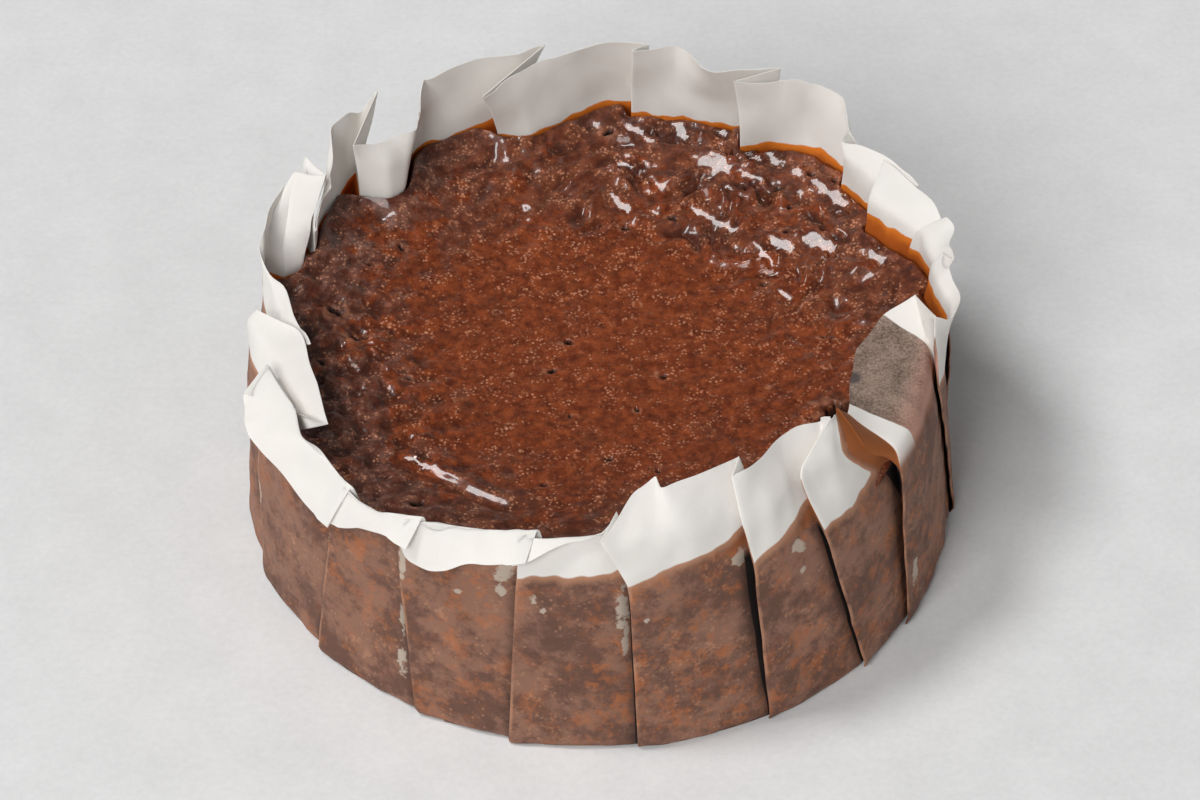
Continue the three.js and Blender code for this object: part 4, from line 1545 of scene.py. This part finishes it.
@dataclass(frozen=True)
class CakeFinish:
    """Colours of the baked top and of the crumb, with painted shadow in the bubble holes and in the hollows
    of the wrinkles.
    """

    deep: Colour = linear(98, 38, 12)
    warm: Colour = linear(144, 70, 35)
    film: Colour = linear(132, 76, 50)
    film_dark: Colour = linear(86, 40, 24)
    film_cool: Colour = linear(126, 90, 78)
    # Dark crumb for the random grain, darker towards the rim, and also the painted shade in the hollows of
    # the wrinkles.
    dark_grain_and_hollow_shade: Colour = linear(48, 17, 8)
    speck: Colour = linear(214, 150, 116)
    # Near black: the painted shadow inside the burst bubbles.
    hole_shadow: Colour = linear(14, 6, 4)

    def material(self) -> bpy.types.Material:
        """Return the material, which reads the cake's own numbers."""
        graph = Graph("cake")
        share = graph.attribute("share")
        film = self.film_cover(graph, share)
        crumb = graph.blend(graph.noise(2.6, 7.0, 0.76).step(0.34, 0.66), self.deep, self.warm)
        across = graph.add("ShaderNodeSeparateXYZ", {}, {0: graph.place()}, "X")
        light = graph.blend(1 - across.step(-0.05, -0.015), self.film, self.film_cool)
        skin = graph.blend(graph.noise(4.0, 7.0, 0.7).step(0.35, 0.68), self.film_dark, light)
        colour = graph.blend(film, crumb, skin)
        grain = 1 - graph.noise(2.4, 6.0, 0.7).step(0.34, 0.62)
        colour = graph.blend(grain * (0.3 + 0.45 * share), colour, self.dark_grain_and_hollow_shade)
        # Painted shade: darker in the hollows of the wrinkles, where their height is below 0.
        colour = graph.blend((-1.0 * graph.attribute("wrinkle")).step(0.1, 0.7) * 0.6, colour, self.dark_grain_and_hollow_shade)
        colour = graph.blend(self.specks(graph), colour, self.speck)
        colour = graph.blend(self.blisters(graph) * 0.35, colour, self.speck)
        colour = graph.blend(graph.attribute("lip") * 0.25, colour, self.speck)
        # Painted shadow: the inside of each burst bubble goes near black.
        colour = graph.blend(graph.attribute("hole_shadow"), colour, self.hole_shadow)
        rough_skin = 1 - 0.85 * graph.attribute("smooth") - 0.35 * graph.attribute("creased")
        normal = graph.bump(graph.noise(3.2, 5.0, 0.62) * rough_skin, 0.3, 0.7)
        normal = graph.bump(graph.noise(0.9, 3.0, 0.6) * rough_skin, 0.06, 0.7, normal)
        normal = graph.bump(self.blisters(graph), 0.1, 0.6, normal)
        rough = 0.2 + 0.2 * graph.noise(2.5, 4.0) + 0.1 * film + 0.5 * graph.attribute("hole_shadow")
        coat = 0.4 * (1 - graph.attribute("hole_shadow"))
        inputs = {"Base_Color": colour, "Roughness": rough, "Normal": normal, "Coat_Weight": coat}
        return graph.finish(**inputs, Coat_Roughness=0.08, Specular_IOR_Level=0.2)

    def film_cover(self, graph: Graph, share: Shade) -> Shade:
        """Return how far the dull skin covers the glossy crumb: patches, more towards the rim."""
        patches = graph.noise(10.0, 8.0, 0.62)
        reach = (share + (graph.noise(30.0, 2.0) - 0.5) * 0.5).step(0.35, 1.0)
        return (patches + reach * 0.24).step(0.6, 0.66) * (0.4 + 0.5 * reach)

    def specks(self, graph: Graph) -> Shade:
        """Return the tiny pale specks, which lie in swarms."""
        swarms = graph.noise(4.0, 6.0, 0.74).step(0.48, 0.6)
        fine = 1 - graph.cells(0.8).step(0.14, 0.5)
        coarse = (1 - graph.cells(2.3).step(0.08, 0.26)) * graph.noise(9.0, 3.0).step(0.48, 0.6)
        return (fine * 0.6 + coarse * 0.4) * (0.05 + 1.05 * swarms)

    def blisters(self, graph: Graph) -> Shade:
        """Return the rings of closed bubbles just under the skin."""
        away = graph.cells(6.5)
        ring = away.step(0.09, 0.14) * (1 - away.step(0.15, 0.24))
        return ring * graph.noise(11.0, 3.0).step(0.54, 0.62) * graph.noise(1.5, 3.0).step(0.42, 0.6)


# ---- Camera, light and floor ----


@dataclass(frozen=True)
class View:
    """Where the photograph was taken from, in degrees and metres.

    Attributes:
        elevation: Height of the camera above the table, as an angle.
        distance: From the camera to the point that it looks at.
        target: Height of that point.
        across: Width of the field of view.
        shift: Sideways and upward shift of the picture, as parts of its width.
    """

    elevation: float = 43.5
    distance: float = 0.983
    target: float = 0.025
    across: float = 15.0
    shift: tuple[float, float] = (-1.8 / 1200, 8.5 / 1200)

    def camera(self) -> None:
        """Make the camera and give it to the scene."""
        data = bpy.data.cameras.new("camera")
        data.angle = math.radians(self.across)
        data.shift_x, data.shift_y = self.shift
        data.clip_start = 0.01
        camera = put("camera", data)
        tilt = math.radians(self.elevation)
        camera.location = (0, -self.distance * math.cos(tilt), self.target + self.distance * math.sin(tilt))
        camera.rotation_euler = (math.pi / 2 - tilt, 0, 0)
        bpy.context.scene.camera = camera


@dataclass(frozen=True)
class Lamp:
    """One soft area light that is turned to the cake, at the height AIM in metres."""

    AIM: ClassVar[float] = 0.03

    name: str
    place: tuple[float, float, float]
    size: float
    watts: float

    def light(self) -> None:
        """Make the light and add it to the scene."""
        data = bpy.data.lights.new(self.name, "AREA")
        data.shape = "DISK"
        data.size = self.size
        data.energy = self.watts
        lamp = put(self.name, data)
        lamp.location = self.place
        away = Vector(self.place) - Vector((0, 0, self.AIM))
        lamp.rotation_euler = away.to_track_quat("Z", "Y").to_euler()


@dataclass(frozen=True)
class Studio:
    """A plain pale floor and plain soft light, in metres and watts."""

    floor_reach: float = 3.0
    floor_height: float = -0.0002
    floor_dark: Colour = linear(202, 202, 202)
    floor_light: Colour = linear(240, 240, 240)
    sky: Colour = (1.0, 1.0, 1.0)
    sky_strength: float = 0.16
    lamps: tuple[Lamp, ...] = (
        Lamp("key", (-2.4, -0.24, 4.64), 1.47, 130.0),
        Lamp("fill", (-1.92, -4.16, 3.5), 2.88, 204.0),
        Lamp("bounce", (3.6, -2.6, 2.2), 3.2, 19.0),
    )

    def build(self) -> None:
        """Make the floor, the sky and the lamps."""
        mesh = bpy.data.meshes.new("floor")
        turns = ((-1, -1), (1, -1), (1, 1), (-1, 1))
        corners = [(x * self.floor_reach, y * self.floor_reach, self.floor_height) for x, y in turns]
        mesh.from_pydata(corners, [], [(0, 1, 2, 3)])
        graph = Graph("floor")
        grain = graph.noise(1.6, 6.0, 0.72) * 0.6 + graph.noise(14.0, 4.0) * 0.4
        tone = graph.blend(grain, self.floor_dark, self.floor_light)
        mesh.materials.append(graph.finish(Base_Color=tone, Roughness=0.9))
        put("floor", mesh)
        world = bpy.data.worlds.new("world")
        world.use_nodes = True
        background = world.node_tree.nodes["Background"]
        background.inputs["Color"].default_value = (*self.sky, 1.0)
        background.inputs["Strength"].default_value = self.sky_strength
        bpy.context.scene.world = world
        bpy.context.scene.view_settings.view_transform = "Standard"
        for lamp in self.lamps:
            lamp.light()


# ---- Putting it together ----


def place(shell: Shell, node: str, material: bpy.types.Material, sharp: float) -> None:
    """Build a piece that stands for a node of the frame.

    Args:
        shell: Its mesh.
        node: The node, whose name is also the name of its material slot.
        material: Its finish.
        sharp: Angle in degrees above which an edge is drawn sharp.
    """
    piece = shell.build(f"{node}_looks", sharp)
    piece.data.materials.append(material)
    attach(piece, "root")
    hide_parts(node)
    LOG.info("%s: %d points, %d faces", piece.name, len(piece.data.vertices), len(piece.data.polygons))


def main() -> None:
    """Build the cake, the parchment and the studio, in that order."""
    logging.basicConfig(level=logging.INFO, format="%(message)s")
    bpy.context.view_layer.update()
    View().camera()
    wall = PleatedWall(PLEATS, WallSize())
    place(Cake(wall, CakeSize()).shell(), "cake", CakeFinish().material(), 60)
    place(Parchment(wall, SheetSize()).shell(), "parchment", ParchmentFinish().material(), 50)
    Studio().build()


if __name__ == "__main__":
    main()
